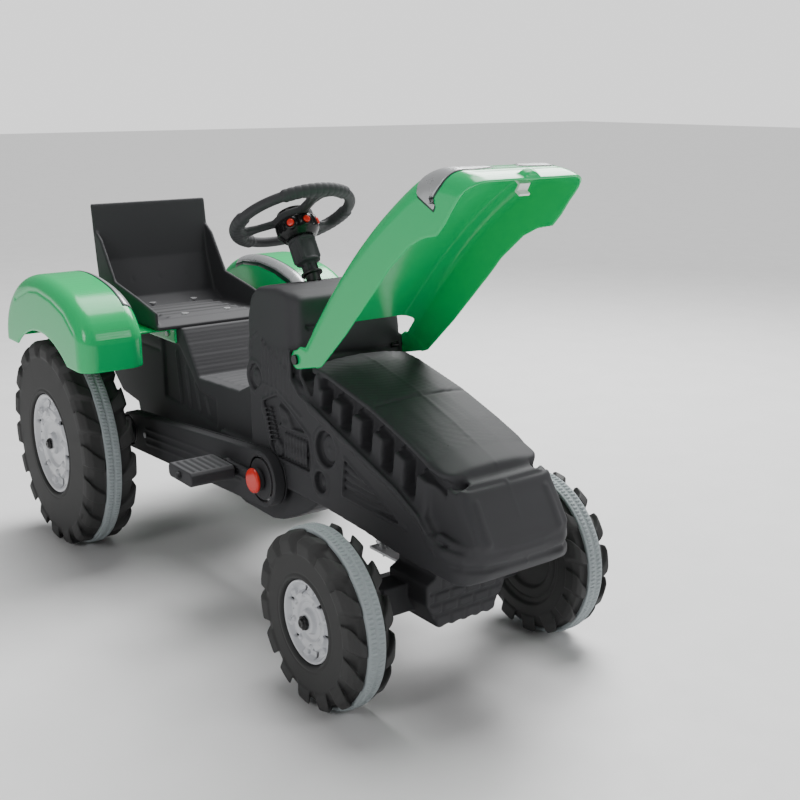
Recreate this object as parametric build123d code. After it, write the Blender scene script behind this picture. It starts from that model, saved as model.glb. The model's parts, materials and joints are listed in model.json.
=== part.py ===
from build123d import *
from math import atan2, cos, hypot, pi, radians, sin, tan
import os

# Ride-on pedal tractor with a lifting hood. Millimetres.
# X runs forward, Y to the driver's left, Z up. While the parts are shaped, X = 0 is the front axle
# and Z = 0 the ground; at the end all of it is moved so that the origin is the middle of the footprint.

# ---------------------------------------------------------------- driving dimensions
# wheels and axles
WHEELBASE = 760.0
FRONT_WHEEL_R = 120.0
FRONT_TYRE_W = 64.0
FRONT_RIM_R = 55.0
FRONT_HALF_TRACK = 182.0
FRONT_LUGS = 14
REAR_WHEEL_R = 180.0
REAR_TYRE_W = 84.0
REAR_RIM_R = 86.0
REAR_HALF_TRACK = 215.0
REAR_LUGS = 18
GRIP_RING_W = 25.0
GRIP_RING_T = 7.0
LUG_HEIGHT = 6.0
LUG_SWEEP = 15.0
TYRE_WALL = 3.0
RIM_WALL = 3.0
FRONT_AXLE_R = 6.0
REAR_AXLE_R = 8.0
AXLE_CAP_R = 10.0

# body shell
BODY_HALF_W = 91.0
BODY_WALL = 3.5
BEAD_HALF_W = 95.0
BLOCK_HALF_W = 63.0
FASCIA_HALF_W = 77.0
RIB_HALF_W = 85.0
RIB_LENGTH = 20.0
RIB_COUNT = 6
RIB_PITCH = 47.5
COVER_HALF_W = 79.0
COVER_T = 9.0
COVER_CROWN = 7.0
COWL_FRONT_HALF_W = 84.0
SPINE_HALF_W = 70.0
SUMP_HALF_W = 80.0
DECK_Z = 380.0

# hood
HOOD_HALF_W = 91.0
HOOD_WALL = 3.0
HOOD_SHOULDER_R = 26.0
HOOD_HINGE_X = -207.0
HOOD_HINGE_Z = 404.0
HOOD_OPEN_ANGLE = 58.0
HOOD_EAR_R = 14.0
HINGE_PIN_R = 4.0
HOOD_GRIP_R = 17.0

# steering
STEER_TILT = 31.0
COLUMN_X = -302.0
COLUMN_Z = 495.0
STEER_SHAFT_R = 7.0
SLEEVE_R = 17.0
SLEEVE_START = 26.0
SLEEVE_END = 66.0
BOSS_R = 32.0
BOSS_END = 94.0
WHEEL_AT = 103.0
STEER_WHEEL_R = 98.0
STEER_RIM_T = 20.0
BUTTON_R = 5.5
BUTTON_STROKE = 1.5
BUTTON_STEP = 45.0
STEER_ARM = 45.0
STEER_PIN_R = 4.0
TIE_PLATE_Z = 123.5
TIE_PLATE_T = 4.0

# bearings
BUSH_R = 11.0
BUSH_LENGTH = 12.0

# front axle beam and knuckles
KINGPIN_HALF_Y = 125.0
KINGPIN_R = 6.0
KNUCKLE_R = 12.0
KNUCKLE_H = 25.0
BEAM_BOTTOM_Z = 88.0

# crank and chain drive
CRANK_X = -285.0
CRANK_Z = 213.0
CRANK_R = 7.0
CRANK_THROW = 90.0
CRANK_ARM_T = 8.0
PEDAL_LENGTH = 78.0
PEDAL_W = 72.0
PEDAL_H = 22.0
PEDAL_SPINDLE_R = 5.0
RED_CAP_R = 19.0
CHAIN_WHEEL_R = 30.0
CHAIN_WHEEL_TEETH = 16
REAR_SPROCKET_TEETH = 10
SPROCKET_T = 4.0
CASE_FRONT_R = 43.0
CASE_DEPTH = 21.0
CASE_WALL = 2.5

# fenders, seat and hitch
FENDER_INNER_Y = 150.0
FENDER_OUTER_Y = 258.0
FENDER_T = 4.0
FENDER_SHOULDER_R = 26.0
SEAT_HALF_W = 110.0
SEAT_T = 6.0
HITCH_HOLE_R = 7.0

# clearances
RUN = 0.05          # radial, shaft in a bearing
SIDE_GAP = 0.5      # between turning faces
HOOD_GAP = 3.0      # hood rim above the ledge it closes on
OPEN_PIVOT = 0.4    # radial, at the linkage's loose pins
WHEEL_ARCH_GAP = 14.0   # between a rear wheel and its fender
TIP_GAP = 1.0       # between chain rollers and sprocket tips

# ---------------------------------------------------------------- sizes that follow
FRONT_AXLE_Z = FRONT_WHEEL_R
REAR_AXLE_Z = REAR_WHEEL_R
REAR_SPROCKET_R = CHAIN_WHEEL_R * REAR_SPROCKET_TEETH / CHAIN_WHEEL_TEETH
CASE_INNER_Y = BODY_HALF_W
CASE_PLATE_Y = CASE_INNER_Y + CASE_WALL
CASE_OUTER_Y = CASE_INNER_Y + CASE_DEPTH
SPROCKET_Y = (CASE_PLATE_Y + CASE_OUTER_Y - CASE_WALL) / 2
ARM_Y = CASE_OUTER_Y + 1.5
STEER_PLANE = Plane(
    origin=(COLUMN_X, 0, COLUMN_Z),
    x_dir=(cos(radians(STEER_TILT)), 0, sin(radians(STEER_TILT))),
    z_dir=(-sin(radians(STEER_TILT)), 0, cos(radians(STEER_TILT))),
)
BEAM_HALF_W = KINGPIN_HALF_Y - 21.0
LOWER_BUSH = -(COLUMN_Z - 204.0) / cos(radians(STEER_TILT))     # where the shaft leaves the tub's floor
SHAFT_FOOT = -(COLUMN_Z - TIE_PLATE_Z - 34.5) / cos(radians(STEER_TILT))


# ---------------------------------------------------------------- small helpers
def profile(points):
    """A face in the side view, from (x, z) corner points."""
    return Plane.XZ * make_face(Polyline(*points, close=True))


def slab(points, half_width):
    """A prism with a side-view outline, centred on the middle plane."""
    return extrude(profile(points), amount=half_width, both=True)


def slab_between(points, y_low, y_high):
    """A prism with a side-view outline between two widths."""
    face = Plane.XZ * make_face(Polyline(*points, close=True))
    return Pos(0, y_high, 0) * extrude(face, amount=y_high - y_low)


def rod_y(x, z, radius, y_low, y_high):
    """A round rod along Y."""
    middle = (y_low + y_high) / 2
    return Pos(x, middle, z) * Rot(90, 0, 0) * Cylinder(radius, y_high - y_low)


def rod_z(x, y, radius, z_low, z_high):
    """A round rod along Z."""
    return Pos(x, y, (z_low + z_high) / 2) * Cylinder(radius, z_high - z_low)


def block(x_low, x_high, y_low, y_high, z_low, z_high):
    """A box between six limits."""
    centre = ((x_low + x_high) / 2, (y_low + y_high) / 2, (z_low + z_high) / 2)
    return Pos(*centre) * Box(x_high - x_low, y_high - y_low, z_high - z_low)


def turned(points):
    """A body turned about the Y axis from (radius, y) corner points."""
    return revolve(make_face(Polyline(*points, close=True)), axis=Axis.Y)


def steer_rod(radius, start, end):
    """A round rod on the steering axis, between two distances along it."""
    return STEER_PLANE * Pos(0, 0, (start + end) / 2) * Cylinder(radius, end - start)


def left_of(part):
    """The mirror image across the middle plane."""
    return mirror(part, about=Plane.XZ)


def belt(x1, z1, r1, x2, z2, r2):
    """The side-view outline of a belt round two circles, as a face."""
    gap = hypot(x2 - x1, z2 - z1)
    lean = atan2(z2 - z1, x2 - x1)
    dip = (r1 - r2) / gap
    side = (1 - dip * dip) ** 0.5
    corners = []
    for sign in (1, -1):
        nx = cos(lean) * dip - sin(lean) * side * sign
        nz = sin(lean) * dip + cos(lean) * side * sign
        corners.append([(x1 + nx * r1, z1 + nz * r1), (x2 + nx * r2, z2 + nz * r2)])
    bar = make_face(Polyline(corners[0][0], corners[0][1], corners[1][1], corners[1][0], close=True))
    return Plane.XZ * (bar + Pos(x1, z1) * Circle(r1) + Pos(x2, z2) * Circle(r2))


def belt_slab(x1, z1, r1, x2, z2, r2, y_low, y_high):
    """A plate with a belt outline between two widths."""
    return Pos(0, y_high, 0) * extrude(belt(x1, z1, r1, x2, z2, r2), amount=y_high - y_low)


def shifted(points, distance):
    """An open side-view line moved sideways, towards the right of its direction."""
    moved = []
    last = len(points) - 1
    for index, (x, z) in enumerate(points):
        before = points[max(index - 1, 0)]
        after = points[min(index + 1, last)]
        length = hypot(after[0] - before[0], after[1] - before[1])
        moved.append((x + (after[1] - before[1]) / length * distance,
                      z - (after[0] - before[0]) / length * distance))
    return moved


def height_on(line, x):
    """The height of an open side-view line, running forward, at a place along X."""
    for (x1, z1), (x2, z2) in zip(line, line[1:]):
        if x1 <= x <= x2:
            return z1 + (z2 - z1) * (x - x1) / (x2 - x1)
    return line[-1][1] if x > line[-1][0] else line[0][1]


# ---------------------------------------------------------------- wheels
def tyre(radius, width, rim_r, axle_r, lugs):
    """A hollow moulded tyre on the Y axis, open behind its rim; its outer side faces -Y."""
    half = width / 2
    seat_r = radius - GRIP_RING_T
    tread_r = seat_r - 2
    groove = GRIP_RING_W / 2
    hub_r = axle_r + 8
    dish_r = radius * 0.42
    step_r = radius * 0.62
    w = TYRE_WALL
    outside = [
        (rim_r, -half + 7), (rim_r + 3, -half), (tread_r - 12, -half), (tread_r, -half + 9),
        (tread_r, -groove), (seat_r, -groove), (seat_r, groove), (tread_r, groove),
        (tread_r, half - 9), (tread_r - 12, half), (step_r, half), (step_r - 4, half - 5),
        (dish_r, half - 7), (dish_r - 4, half - 12), (axle_r + RUN, half - 12),
    ]
    inside = [
        (axle_r + RUN, -half + 15), (hub_r, -half + 15), (hub_r, half - 12 - w), (dish_r - 2, half - 12 - w),
        (dish_r + 2, half - 7 - w), (step_r - 1, half - 5 - w), (step_r + 2, half - w),
        (tread_r - 13, half - w), (tread_r - w, half - 11), (tread_r - w, -half + 11),
        (tread_r - 13, -half + w), (rim_r + 4, -half + w), (rim_r + 3, -half + 10), (rim_r, -half + 10),
    ]
    carcass = turned(outside + inside)
    envelope = turned([
        (tread_r - 14, -groove - 1), (tread_r + LUG_HEIGHT, -groove - 1), (tread_r + LUG_HEIGHT, -half + 8),
        (tread_r - 9, -half - 1), (tread_r - 14, -half - 1),
    ])
    pitch = 360 / lugs
    foot = lug_foot(radius, lugs)
    outline = [(-foot, -groove + 2), (foot, -groove + 2), (foot + LUG_SWEEP, -half - 3),
               (-foot + LUG_SWEEP, -half - 3)]
    bar = extrude(Plane.YZ * make_face(Polyline(*[(y, z) for z, y in outline], close=True)), amount=radius + 5)
    lug = bar & envelope
    outer_lugs = [Rot(0, index * pitch, 0) * lug for index in range(lugs)]
    inner_lug = mirror(lug, about=Plane.XZ)
    inner_lugs = [Rot(0, (index + 0.5) * pitch, 0) * inner_lug for index in range(lugs)]
    return carcass + outer_lugs + inner_lugs


def lug_foot(radius, lugs):
    """Half the footprint of one lug: just under a quarter of its pitch round the tread."""
    return pi * radius / lugs * 0.46


def grip_ring(radius):
    """The rubber running band, with a ring of shallow tread grooves."""
    half = GRIP_RING_W / 2
    inner = radius - GRIP_RING_T
    band = turned([
        (inner, -half), (radius - 2, -half), (radius, -half + 2), (radius, half - 2),
        (radius - 2, half), (inner, half),
    ])
    count = int(radius / 4)
    pitch = 360 / count
    cut = Pos(radius, 0, 0) * Box(1.6, GRIP_RING_W - 8, 4)
    return band - [Rot(0, 90 + (index + 0.5) * pitch, 0) * cut for index in range(count)]


def rim(radius, width, axle_r):
    """A moulded rim dish with bolts, bosses and slots; its face looks to -Y."""
    face = -width / 2 + RIM_WALL
    w = RIM_WALL
    boss_r = axle_r + 9
    dish = turned([
        (axle_r + RUN, face), (boss_r, face), (boss_r + 2, face + 7), (radius * 0.46, face + 8),
        (radius * 0.52, face + 4), (radius * 0.66, face + 3), (radius * 0.72, face + 8),
        (radius * 0.86, face + 8), (radius * 0.92, face), (radius, face), (radius, face + 4),
        (radius * 0.95, face + 5), (radius * 0.89, face + 8 + w), (radius * 0.7, face + 8 + w),
        (radius * 0.63, face + 4 + w), (radius * 0.54, face + 4 + w), (radius * 0.49, face + 8 + w),
        (axle_r + RUN, face + 8 + w),
    ])
    bolt = rod_y(radius * 0.59, 0, radius * 0.055, face - 1, face + 6)
    boss = rod_y(radius * 0.79, 0, radius * 0.075, face + 3, face + 9)
    slot = Pos(radius * 0.79, face + 9, 0) * Box(radius * 0.07, 12, radius * 0.26)
    bolts = [Rot(0, index * 45, 0) * bolt for index in range(8)]
    bosses = [Rot(0, index * 60, 0) * boss for index in range(6)]
    slots = [Rot(0, 30 + index * 60, 0) * slot for index in range(6)]
    return dish + bolts + bosses - slots


def axle_cap(width, axle_r):
    """The black push-on cap at the end of an axle, outside the rim."""
    face = -width / 2 + RIM_WALL
    blank = turned([(0, face - SIDE_GAP), (AXLE_CAP_R, face - SIDE_GAP), (AXLE_CAP_R, face - 5),
                    (AXLE_CAP_R - 3, face - 8), (0, face - 8)])
    return blank - rod_y(0, 0, axle_r, face - 5, face)


def wheel_nodes(prefix, x, half_track, z, radius, width, rim_r, axle_r, lugs):
    """The four pieces of the right and left wheel of one axle."""
    right = {
        "tyre": tyre(radius, width, rim_r, axle_r, lugs),
        "grip_ring": grip_ring(radius),
        "rim": rim(rim_r, width, axle_r),
        "axle_cap": axle_cap(width, axle_r),
    }
    nodes = {}
    for name, piece in right.items():
        placed = Pos(x, -half_track, z) * piece
        nodes[f"{prefix}_right_{name}"] = placed
        nodes[f"{prefix}_left_{name}"] = left_of(placed)
    return nodes


# ---------------------------------------------------------------- body shell
def ledge_line():
    """The side-view line, running forward, of the ledge that the hood's rim closes on."""
    return [(-192, 362), (-176, 347), (-118, 328), (-35, 301), (31, 279), (78, 256), (98, 236),
            (118, 227), (163, 225), (176, 222)]


def cover_line():
    """The side-view line, running forward, of the engine cover's side edge."""
    return [(-184, 397), (-143, 392), (-45, 369), (28, 345), (118, 311)]


def tub_outline():
    """The wide lower part: underside from the sump forward, round the lip, back along the ledge."""
    under = [(-345, 205), (-137, 205), (-46, 200), (0, 195), (77, 190), (140, 185), (160, 188), (176, 202),
             (180, 215)]
    return under + ledge_line()[::-1] + [(-228, 380), (-345, 380)]


def cowl_outline(front_x):
    """The dashboard cowl, rounded at the top."""
    return [(-345, 300), (-345, 446), (-334, 476), (-316, 491), (-262, 497), (-236, 495),
            (max(front_x, -226), 487), (front_x, 448), (front_x, 300)]


def spine_outline():
    """The step-through spine behind the cowl, the seat deck and the rear axle housing."""
    return [(-300, 210), (-300, 345), (-345, 345), (-420, 312), (-560, 306), (-612, DECK_Z), (-900, DECK_Z),
            (-916, 360), (-916, 250), (-880, 222), (-WHEELBASE - 52, 214), (-WHEELBASE - 34, REAR_AXLE_Z - 26),
            (-WHEELBASE + 34, REAR_AXLE_Z - 26), (-WHEELBASE + 60, 206), (-480, 196)]


def sump_outline():
    """The crank housing hanging under the middle of the body."""
    return [(-470, 240), (-470, 190), (-440, 148), (-395, 139), (-311, 138), (-280, 145), (-245, 159),
            (-200, 182), (-172, 206), (-172, 240)]


def cover_plate():
    """The engine cover's flat-sided plate, following the slope of its side edge."""
    line = cover_line()
    return slab(line + [(x, z - COVER_T) for x, z in line[::-1]], COVER_HALF_W)


def cover_crown(start, end):
    """The crown on one straight run of the engine cover, sunk a little into its plate."""
    run_x, run_z = end[0] - start[0], end[1] - start[1]
    length = hypot(run_x, run_z)
    half = COVER_HALF_W - 3
    foot = -COVER_T * 0.4
    section = [(-half, foot), (-half, 0), (-half * 0.5, COVER_CROWN * 0.8), (0, COVER_CROWN),
               (half * 0.5, COVER_CROWN * 0.8), (half, 0), (half, foot)]
    base = Plane(origin=(start[0], 0, start[1]), x_dir=(0, 1, 0), z_dir=(run_x, 0, run_z))
    points = [(y, -height if base.y_dir.Z < 0 else height) for y, height in section]
    return extrude(base * make_face(Polyline(*points, close=True)), amount=length)


def tooth_rib(index):
    """One of the upright teeth between the ledge and the cover, leaning with the slope."""
    foot_x = 68 - index * RIB_PITCH
    head_x = foot_x + 10
    low = height_on(ledge_line(), foot_x) - 8
    high = height_on(cover_line(), head_x) - COVER_T + 1
    half = RIB_LENGTH / 2
    outline = [(foot_x - half, low), (foot_x + half, low), (head_x + half, high - 5), (head_x - half, high + 2)]
    return slab(outline, RIB_HALF_W)


def engine_block():
    """The narrow block under the cover, with its fascia at the front."""
    roof = [(x, z - COVER_T + 2) for x, z in cover_line()]
    foot = [(x, z - 6) for x, z in ledge_line()[1:7]]
    core = [(-200, 340)] + foot + [(118, 290)] + roof[::-1] + [(-200, 392)]
    fascia = [(96, 226), (172, 220), (176, 238), (161, 263), (147, 285), (137, 303), (112, 309), (84, 318),
              (84, 250)]
    front = extrude(profile(fascia), amount=FASCIA_HALF_W, both=True)
    corners = [edge for edge in front.edges() if abs(edge.center().Y) > FASCIA_HALF_W - 1
               and edge.center().X > 140 and edge.length > 15]
    return slab(core, BLOCK_HALF_W) + fillet(corners, 12)


def lip_trim():
    """What is cut off the tub to round its front corners in the plan view."""
    big = block(60, 240, -BEAD_HALF_W - 5, BEAD_HALF_W + 5, 150, 262)
    nose_x = 180
    outline = make_face(Polyline(
        (50, -BEAD_HALF_W), (132, -BEAD_HALF_W), (160, -86), (176, -66), (nose_x, -30), (nose_x, 30),
        (176, 66), (160, 86), (132, BEAD_HALF_W), (50, BEAD_HALF_W), close=True))
    return big - Pos(0, 0, 140) * extrude(outline, amount=140)


def ledge_bead():
    """The raised bead along the outside of the ledge, which hides the hood's closed rim."""
    line = [(x, z + HOOD_GAP + 1) for x, z in ledge_line()[1:9]]
    low = [(x, z - 12) for x, z in line]
    strip = line + low[::-1]
    right = slab_between(strip, -BEAD_HALF_W, -HOOD_HALF_W - 1)
    return slab_between(strip, HOOD_HALF_W + 1, BEAD_HALF_W) + right \
        + slab_between([(x, z - HOOD_GAP - 1) for x, z in line] + low[::-1], -BEAD_HALF_W, BEAD_HALF_W)


def side_reliefs():
    """Raised engine details on the right and left sides: port rings, fins, frame and louvres."""
    face = BODY_HALF_W
    pieces = []
    for x, z, outer, inner in [(-134, 292, 31, 25), (-150, 240, 22, 15), (-325, 357, 26, 20)]:
        ring = rod_y(x, z, outer, face - 1, face + 2) - rod_y(x, z, inner, face - 2, face + 3)
        pieces.append(ring)
    for index in range(7):
        pieces.append(block(-250 + index * 10, -244 + index * 10, face - 1, face + 2, 248, 292))
    for index in range(6):
        pieces.append(block(-296 + index * 13, -290 + index * 13, face - 1, face + 2, 338 + index, 412))
    for index in range(3):
        low = 240 + index * 16
        reach = 40 - index * 38
        pieces.append(slab_between([(-84, low), (reach, low - 6), (reach, low - 2), (-84, low + 5)],
                                   face - 1, face + 2))
    right = [left_of(piece) for piece in pieces]
    return pieces + right


def body_solid():
    """The body's outer form with nothing hollowed or drilled."""
    cowl = slab(cowl_outline(-208), COWL_FRONT_HALF_W) + slab(cowl_outline(-228), BODY_HALF_W)
    form = slab(tub_outline(), BODY_HALF_W) + cowl + slab(spine_outline(), SPINE_HALF_W)
    form = form + slab(sump_outline(), SUMP_HALF_W) + ledge_bead() - lip_trim()
    line = cover_line()
    form = form + engine_block() + cover_plate() + [cover_crown(*ends) for ends in zip(line, line[1:])]
    return form + [tooth_rib(index) for index in range(RIB_COUNT)] + side_reliefs()


def body_hollow():
    """The air inside the moulding, one connected space."""
    wall = BODY_WALL
    tub = offset(profile(tub_outline()), amount=-wall)
    cowl = offset(profile(cowl_outline(-208)), amount=-wall)
    spine = offset(profile(spine_outline()), amount=-wall)
    sump = offset(profile(sump_outline()), amount=-wall)
    straight_side = block(-400, 124, -BODY_HALF_W, BODY_HALF_W, 100, 500)
    spaces = [extrude(tub, amount=FASCIA_HALF_W - 12, both=True),
              extrude(tub, amount=BODY_HALF_W - wall, both=True) & straight_side,
              extrude(cowl, amount=COWL_FRONT_HALF_W - wall, both=True),
              extrude(spine, amount=SPINE_HALF_W - wall, both=True),
              extrude(sump, amount=SUMP_HALF_W - wall, both=True)]
    joints = [block(-340, -305, -60, 60, 216, 340), block(-340, -215, -60, 60, 300, 372),
              block(-330, -180, -60, 60, 209, 236)]
    roof = [(x, z - COVER_T - 4) for x, z in cover_line()]
    spaces.append(slab([(-180, 352), (-100, 320), (40, 270), (108, 240)] + roof[::-1], BLOCK_HALF_W - wall))
    return Part() + spaces + joints


def body_shell():
    """The one-piece moulded body, hollow, with its bearing holes."""
    shell = body_solid() - body_hollow()
    drills = [
        steer_rod(BUSH_R, -500, 20),
        rod_y(CRANK_X, CRANK_Z, BUSH_R, -BODY_HALF_W - 5, BODY_HALF_W + 5),
        rod_y(-WHEELBASE, REAR_AXLE_Z, BUSH_R + 1, -SPINE_HALF_W - 5, SPINE_HALF_W + 5),
        rod_y(HOOD_HINGE_X, HOOD_HINGE_Z, HINGE_PIN_R, -BODY_HALF_W, BODY_HALF_W),
    ]
    drills += [rod_z(x, y, 3, 150, 230) for x, y in beam_bolt_places()]
    drills += [rod_z(x, y, 3, DECK_Z - 20, DECK_Z + 5) for x, y in seat_bolt_places()]
    drills += [rod_y(x, z, 2.5, -SPINE_HALF_W - 2, SPINE_HALF_W + 2) for x, z in fender_screw_places()]
    drills += [rod_y(x, z, 2.5, -BODY_HALF_W - 2, -SPINE_HALF_W + 12) for x, z in case_screw_places()]
    return shell - drills


def crank_bushes():
    """Two bushes that carry the crank shaft in the body's side walls."""
    sleeve = rod_y(CRANK_X, CRANK_Z, BUSH_R, -CASE_INNER_Y, CASE_INNER_Y)
    bore = rod_y(CRANK_X, CRANK_Z, CRANK_R + RUN, -CASE_INNER_Y - 1, CASE_INNER_Y + 1)
    gap = CASE_INNER_Y - BUSH_LENGTH - BODY_WALL
    middle = block(CRANK_X - 20, CRANK_X + 20, -gap, gap, CRANK_Z - 20, CRANK_Z + 20)
    return sleeve - bore - middle


def rear_axle_bushes():
    """Two bushes that carry the rear axle in the spine's side walls."""
    radius = BUSH_R + 1
    sleeve = rod_y(-WHEELBASE, REAR_AXLE_Z, radius, -SPINE_HALF_W - 4, SPINE_HALF_W + 4)
    bore = rod_y(-WHEELBASE, REAR_AXLE_Z, REAR_AXLE_R + RUN, -SPINE_HALF_W - 5, SPINE_HALF_W + 5)
    gap = SPINE_HALF_W - BUSH_LENGTH
    middle = block(-WHEELBASE - 20, -WHEELBASE + 20, -gap, gap, REAR_AXLE_Z - 20, REAR_AXLE_Z + 20)
    return sleeve - bore - middle


def steering_bushes():
    """An upper bush in the cowl's top and a lower one in the tub's floor."""
    upper = steer_rod(BUSH_R, 8 - BUSH_LENGTH, 8) + steer_rod(BUSH_R + 5, 8, 12)
    lower = steer_rod(BUSH_R, LOWER_BUSH - BUSH_LENGTH, LOWER_BUSH + BUSH_LENGTH)
    return upper + lower - steer_rod(STEER_SHAFT_R + RUN, -500, 20)


# ---------------------------------------------------------------- front axle
def beam_bolt_places():
    return [(-10, -34), (-10, 34), (46, -34), (46, 34)]


def front_axle_beam():
    """The weight-block beam under the tub, with forks for the kingpins."""
    fork_low = FRONT_AXLE_Z - KNUCKLE_H / 2 - SIDE_GAP
    fork_high = FRONT_AXLE_Z + KNUCKLE_H / 2 + SIDE_GAP
    bottom = BEAM_BOTTOM_Z
    centre_points = [(-66, 122), (-48, bottom), (48, bottom), (66, 122), (66, 150), (50, 158), (50, 205),
                     (-50, 205), (-50, 158), (-66, 150)]
    centre = Pos(-24, 0, 0) * extrude(Plane.YZ * make_face(Polyline(*centre_points, close=True)), amount=84)
    arms = block(-18, 18, -BEAM_HALF_W, BEAM_HALF_W, fork_low - 8, fork_high + 8)
    tips = block(-14, 14, -KINGPIN_HALF_Y, KINGPIN_HALF_Y, fork_low - 8, fork_high + 8)
    ends = [rod_z(0, side * KINGPIN_HALF_Y, 14, fork_low - 8, fork_high + 8) for side in (-1, 1)]
    beam = centre + arms + tips + ends
    for side in (-1, 1):
        inner = side * (KINGPIN_HALF_Y - KNUCKLE_R - 9)
        outer = side * (KINGPIN_HALF_Y + 20)
        beam = beam - block(-30, 30, min(inner, outer), max(inner, outer), fork_low, fork_high)
        beam = beam - rod_z(0, side * KINGPIN_HALF_Y, KINGPIN_R, fork_low - 20, fork_high + 20)
    grooves = [block(59, 61, -60, 60, z, z + 2.5) for z in (104, 120, 136)]
    for row, z in enumerate((BEAM_BOTTOM_Z, 106, 122, 138)):
        for step in range(-2, 3):
            y = step * 26 + (13 if row % 2 else 0)
            grooves.append(block(59, 61, y - 1.2, y + 1.2, z, z + 16))
    window = block(-60, -24, -70, 70, TIE_PLATE_Z - 6, TIE_PLATE_Z + TIE_PLATE_T + 6)
    beam = beam - grooves - window - body_fill_over_beam()
    return beam - [rod_z(x, y, 3, 160, 230) for x, y in beam_bolt_places()]


def body_fill_over_beam():
    """The tub's solid form above the beam, so that the beam's saddle fits under it."""
    return slab(tub_outline(), BODY_HALF_W)


def front_axle_bolts():
    """Four bolts from the tub's floor down into the beam."""
    bolts = []
    for x, y in beam_bolt_places():
        floor = height_on([(-137, 205), (-46, 200), (0, 195), (77, 190)], x) + BODY_WALL + 1.5
        bolts.append(rod_z(x, y, 3, 160, floor) + rod_z(x, y, 6, floor, floor + 4))
    return Part() + bolts


def kingpins():
    """Both kingpins, held in the beam's forks."""
    pins = []
    for side in (-1, 1):
        y = side * KINGPIN_HALF_Y
        top = FRONT_AXLE_Z + KNUCKLE_H / 2 + SIDE_GAP + 8
        bottom = FRONT_AXLE_Z - KNUCKLE_H / 2 - SIDE_GAP - 8
        pins.append(rod_z(0, y, KINGPIN_R, bottom - 3, top) + rod_z(0, y, KINGPIN_R + 4, top, top + 4))
    return Part() + pins


def knuckle_right():
    """The right steering knuckle: barrel, stub axle, steering arm and tie-rod pin."""
    y = -KINGPIN_HALF_Y
    barrel = rod_z(0, y, KNUCKLE_R, FRONT_AXLE_Z - KNUCKLE_H / 2, FRONT_AXLE_Z + KNUCKLE_H / 2)
    face = FRONT_HALF_TRACK + FRONT_TYRE_W / 2 - RIM_WALL
    stub = rod_y(0, FRONT_AXLE_Z, FRONT_AXLE_R, -face - 5, y)
    tyre_back = FRONT_HALF_TRACK - FRONT_TYRE_W / 2 + 12
    collar = rod_y(0, FRONT_AXLE_Z, FRONT_AXLE_R + 4, -tyre_back + SIDE_GAP, y)
    arm_top = TIE_PLATE_Z - SIDE_GAP
    arm = block(-STEER_ARM, 0, y - 7, y + 7, arm_top - 7, arm_top)
    arm = arm + rod_z(-STEER_ARM, y, 8, arm_top - 7, arm_top)
    pin = rod_z(-STEER_ARM, y, STEER_PIN_R, arm_top - 7, TIE_PLATE_Z + TIE_PLATE_T + 3)
    return barrel + stub + collar + arm + pin - rod_z(0, y, KINGPIN_R + RUN, 90, 150)


def tie_rod():
    """The T-shaped plate that joins both knuckles and is moved by the steering shaft's pin."""
    top = TIE_PLATE_Z + TIE_PLATE_T
    low = TIE_PLATE_Z
    pin_x = steer_pin_x()
    bar = block(-STEER_ARM - 9, -STEER_ARM + 9, -KINGPIN_HALF_Y, KINGPIN_HALF_Y, low, top)
    eyes = [rod_z(-STEER_ARM, side * KINGPIN_HALF_Y, 9, low, top) for side in (-1, 1)]
    tongue = block(pin_x - 16, -STEER_ARM, -13, 13, low, top)
    plate = bar + eyes + tongue
    plate = plate - rod_z(-STEER_ARM, -KINGPIN_HALF_Y, STEER_PIN_R + RUN, low - 1, top + 1)
    plate = plate - rod_z(-STEER_ARM, KINGPIN_HALF_Y, STEER_PIN_R + OPEN_PIVOT, low - 1, top + 1)
    reach = STEER_PIN_R / cos(radians(STEER_TILT)) + TIE_PLATE_T + 1
    slot_half = STEER_PIN_R + OPEN_PIVOT
    slot = block(pin_x - reach + slot_half, pin_x + reach - slot_half, -slot_half, slot_half, low - 1, top + 1)
    ends = [rod_z(pin_x + side * (reach - slot_half), 0, slot_half, low - 1, top + 1) for side in (-1, 1)]
    return plate - ([slot] + ends)


def steer_pin_x():
    """Where the steering shaft's pin passes through the tie plate."""
    drop = COLUMN_Z - TIE_PLATE_Z - TIE_PLATE_T / 2
    axis_x = COLUMN_X + drop * tan(radians(STEER_TILT))
    return axis_x - STEER_ARM / cos(radians(STEER_TILT))


# ---------------------------------------------------------------- steering
def steering_shaft():
    """The steel shaft, with an arm and a pin at its lower end."""
    shaft = steer_rod(STEER_SHAFT_R, SHAFT_FOOT, WHEEL_AT + 6)
    arm = STEER_PLANE * Pos(-STEER_ARM / 2, 0, SHAFT_FOOT) * Box(STEER_ARM, 12, 7)
    eye = STEER_PLANE * Pos(-STEER_ARM, 0, SHAFT_FOOT) * Cylinder(7, 7)
    pin = STEER_PLANE * Pos(-STEER_ARM, 0, SHAFT_FOOT - 11) * Cylinder(STEER_PIN_R, 24)
    return shaft + arm + eye + pin


def steering_sleeve():
    """The thick moulded sleeve with side ribs, below the boss."""
    lower = steer_rod(SLEEVE_R - 5, 12 + SIDE_GAP, SLEEVE_START)
    sleeve = steer_rod(SLEEVE_R, SLEEVE_START, SLEEVE_END)
    ribs = []
    for index in range(4):
        rib = Rot(0, 0, 45 + index * 90) * Pos(SLEEVE_R, 0, 0) * Box(8, 9, SLEEVE_END - SLEEVE_START - 8)
        ribs.append(STEER_PLANE * Pos(0, 0, (SLEEVE_START + SLEEVE_END) / 2 + 4) * rib)
    return lower + sleeve + ribs - steer_rod(STEER_SHAFT_R, 0, SLEEVE_END + 1)


def button_angles():
    """The three buttons round the front of the boss, from right to left."""
    return {"right": -BUTTON_STEP, "centre": 0.0, "left": BUTTON_STEP}


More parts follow.
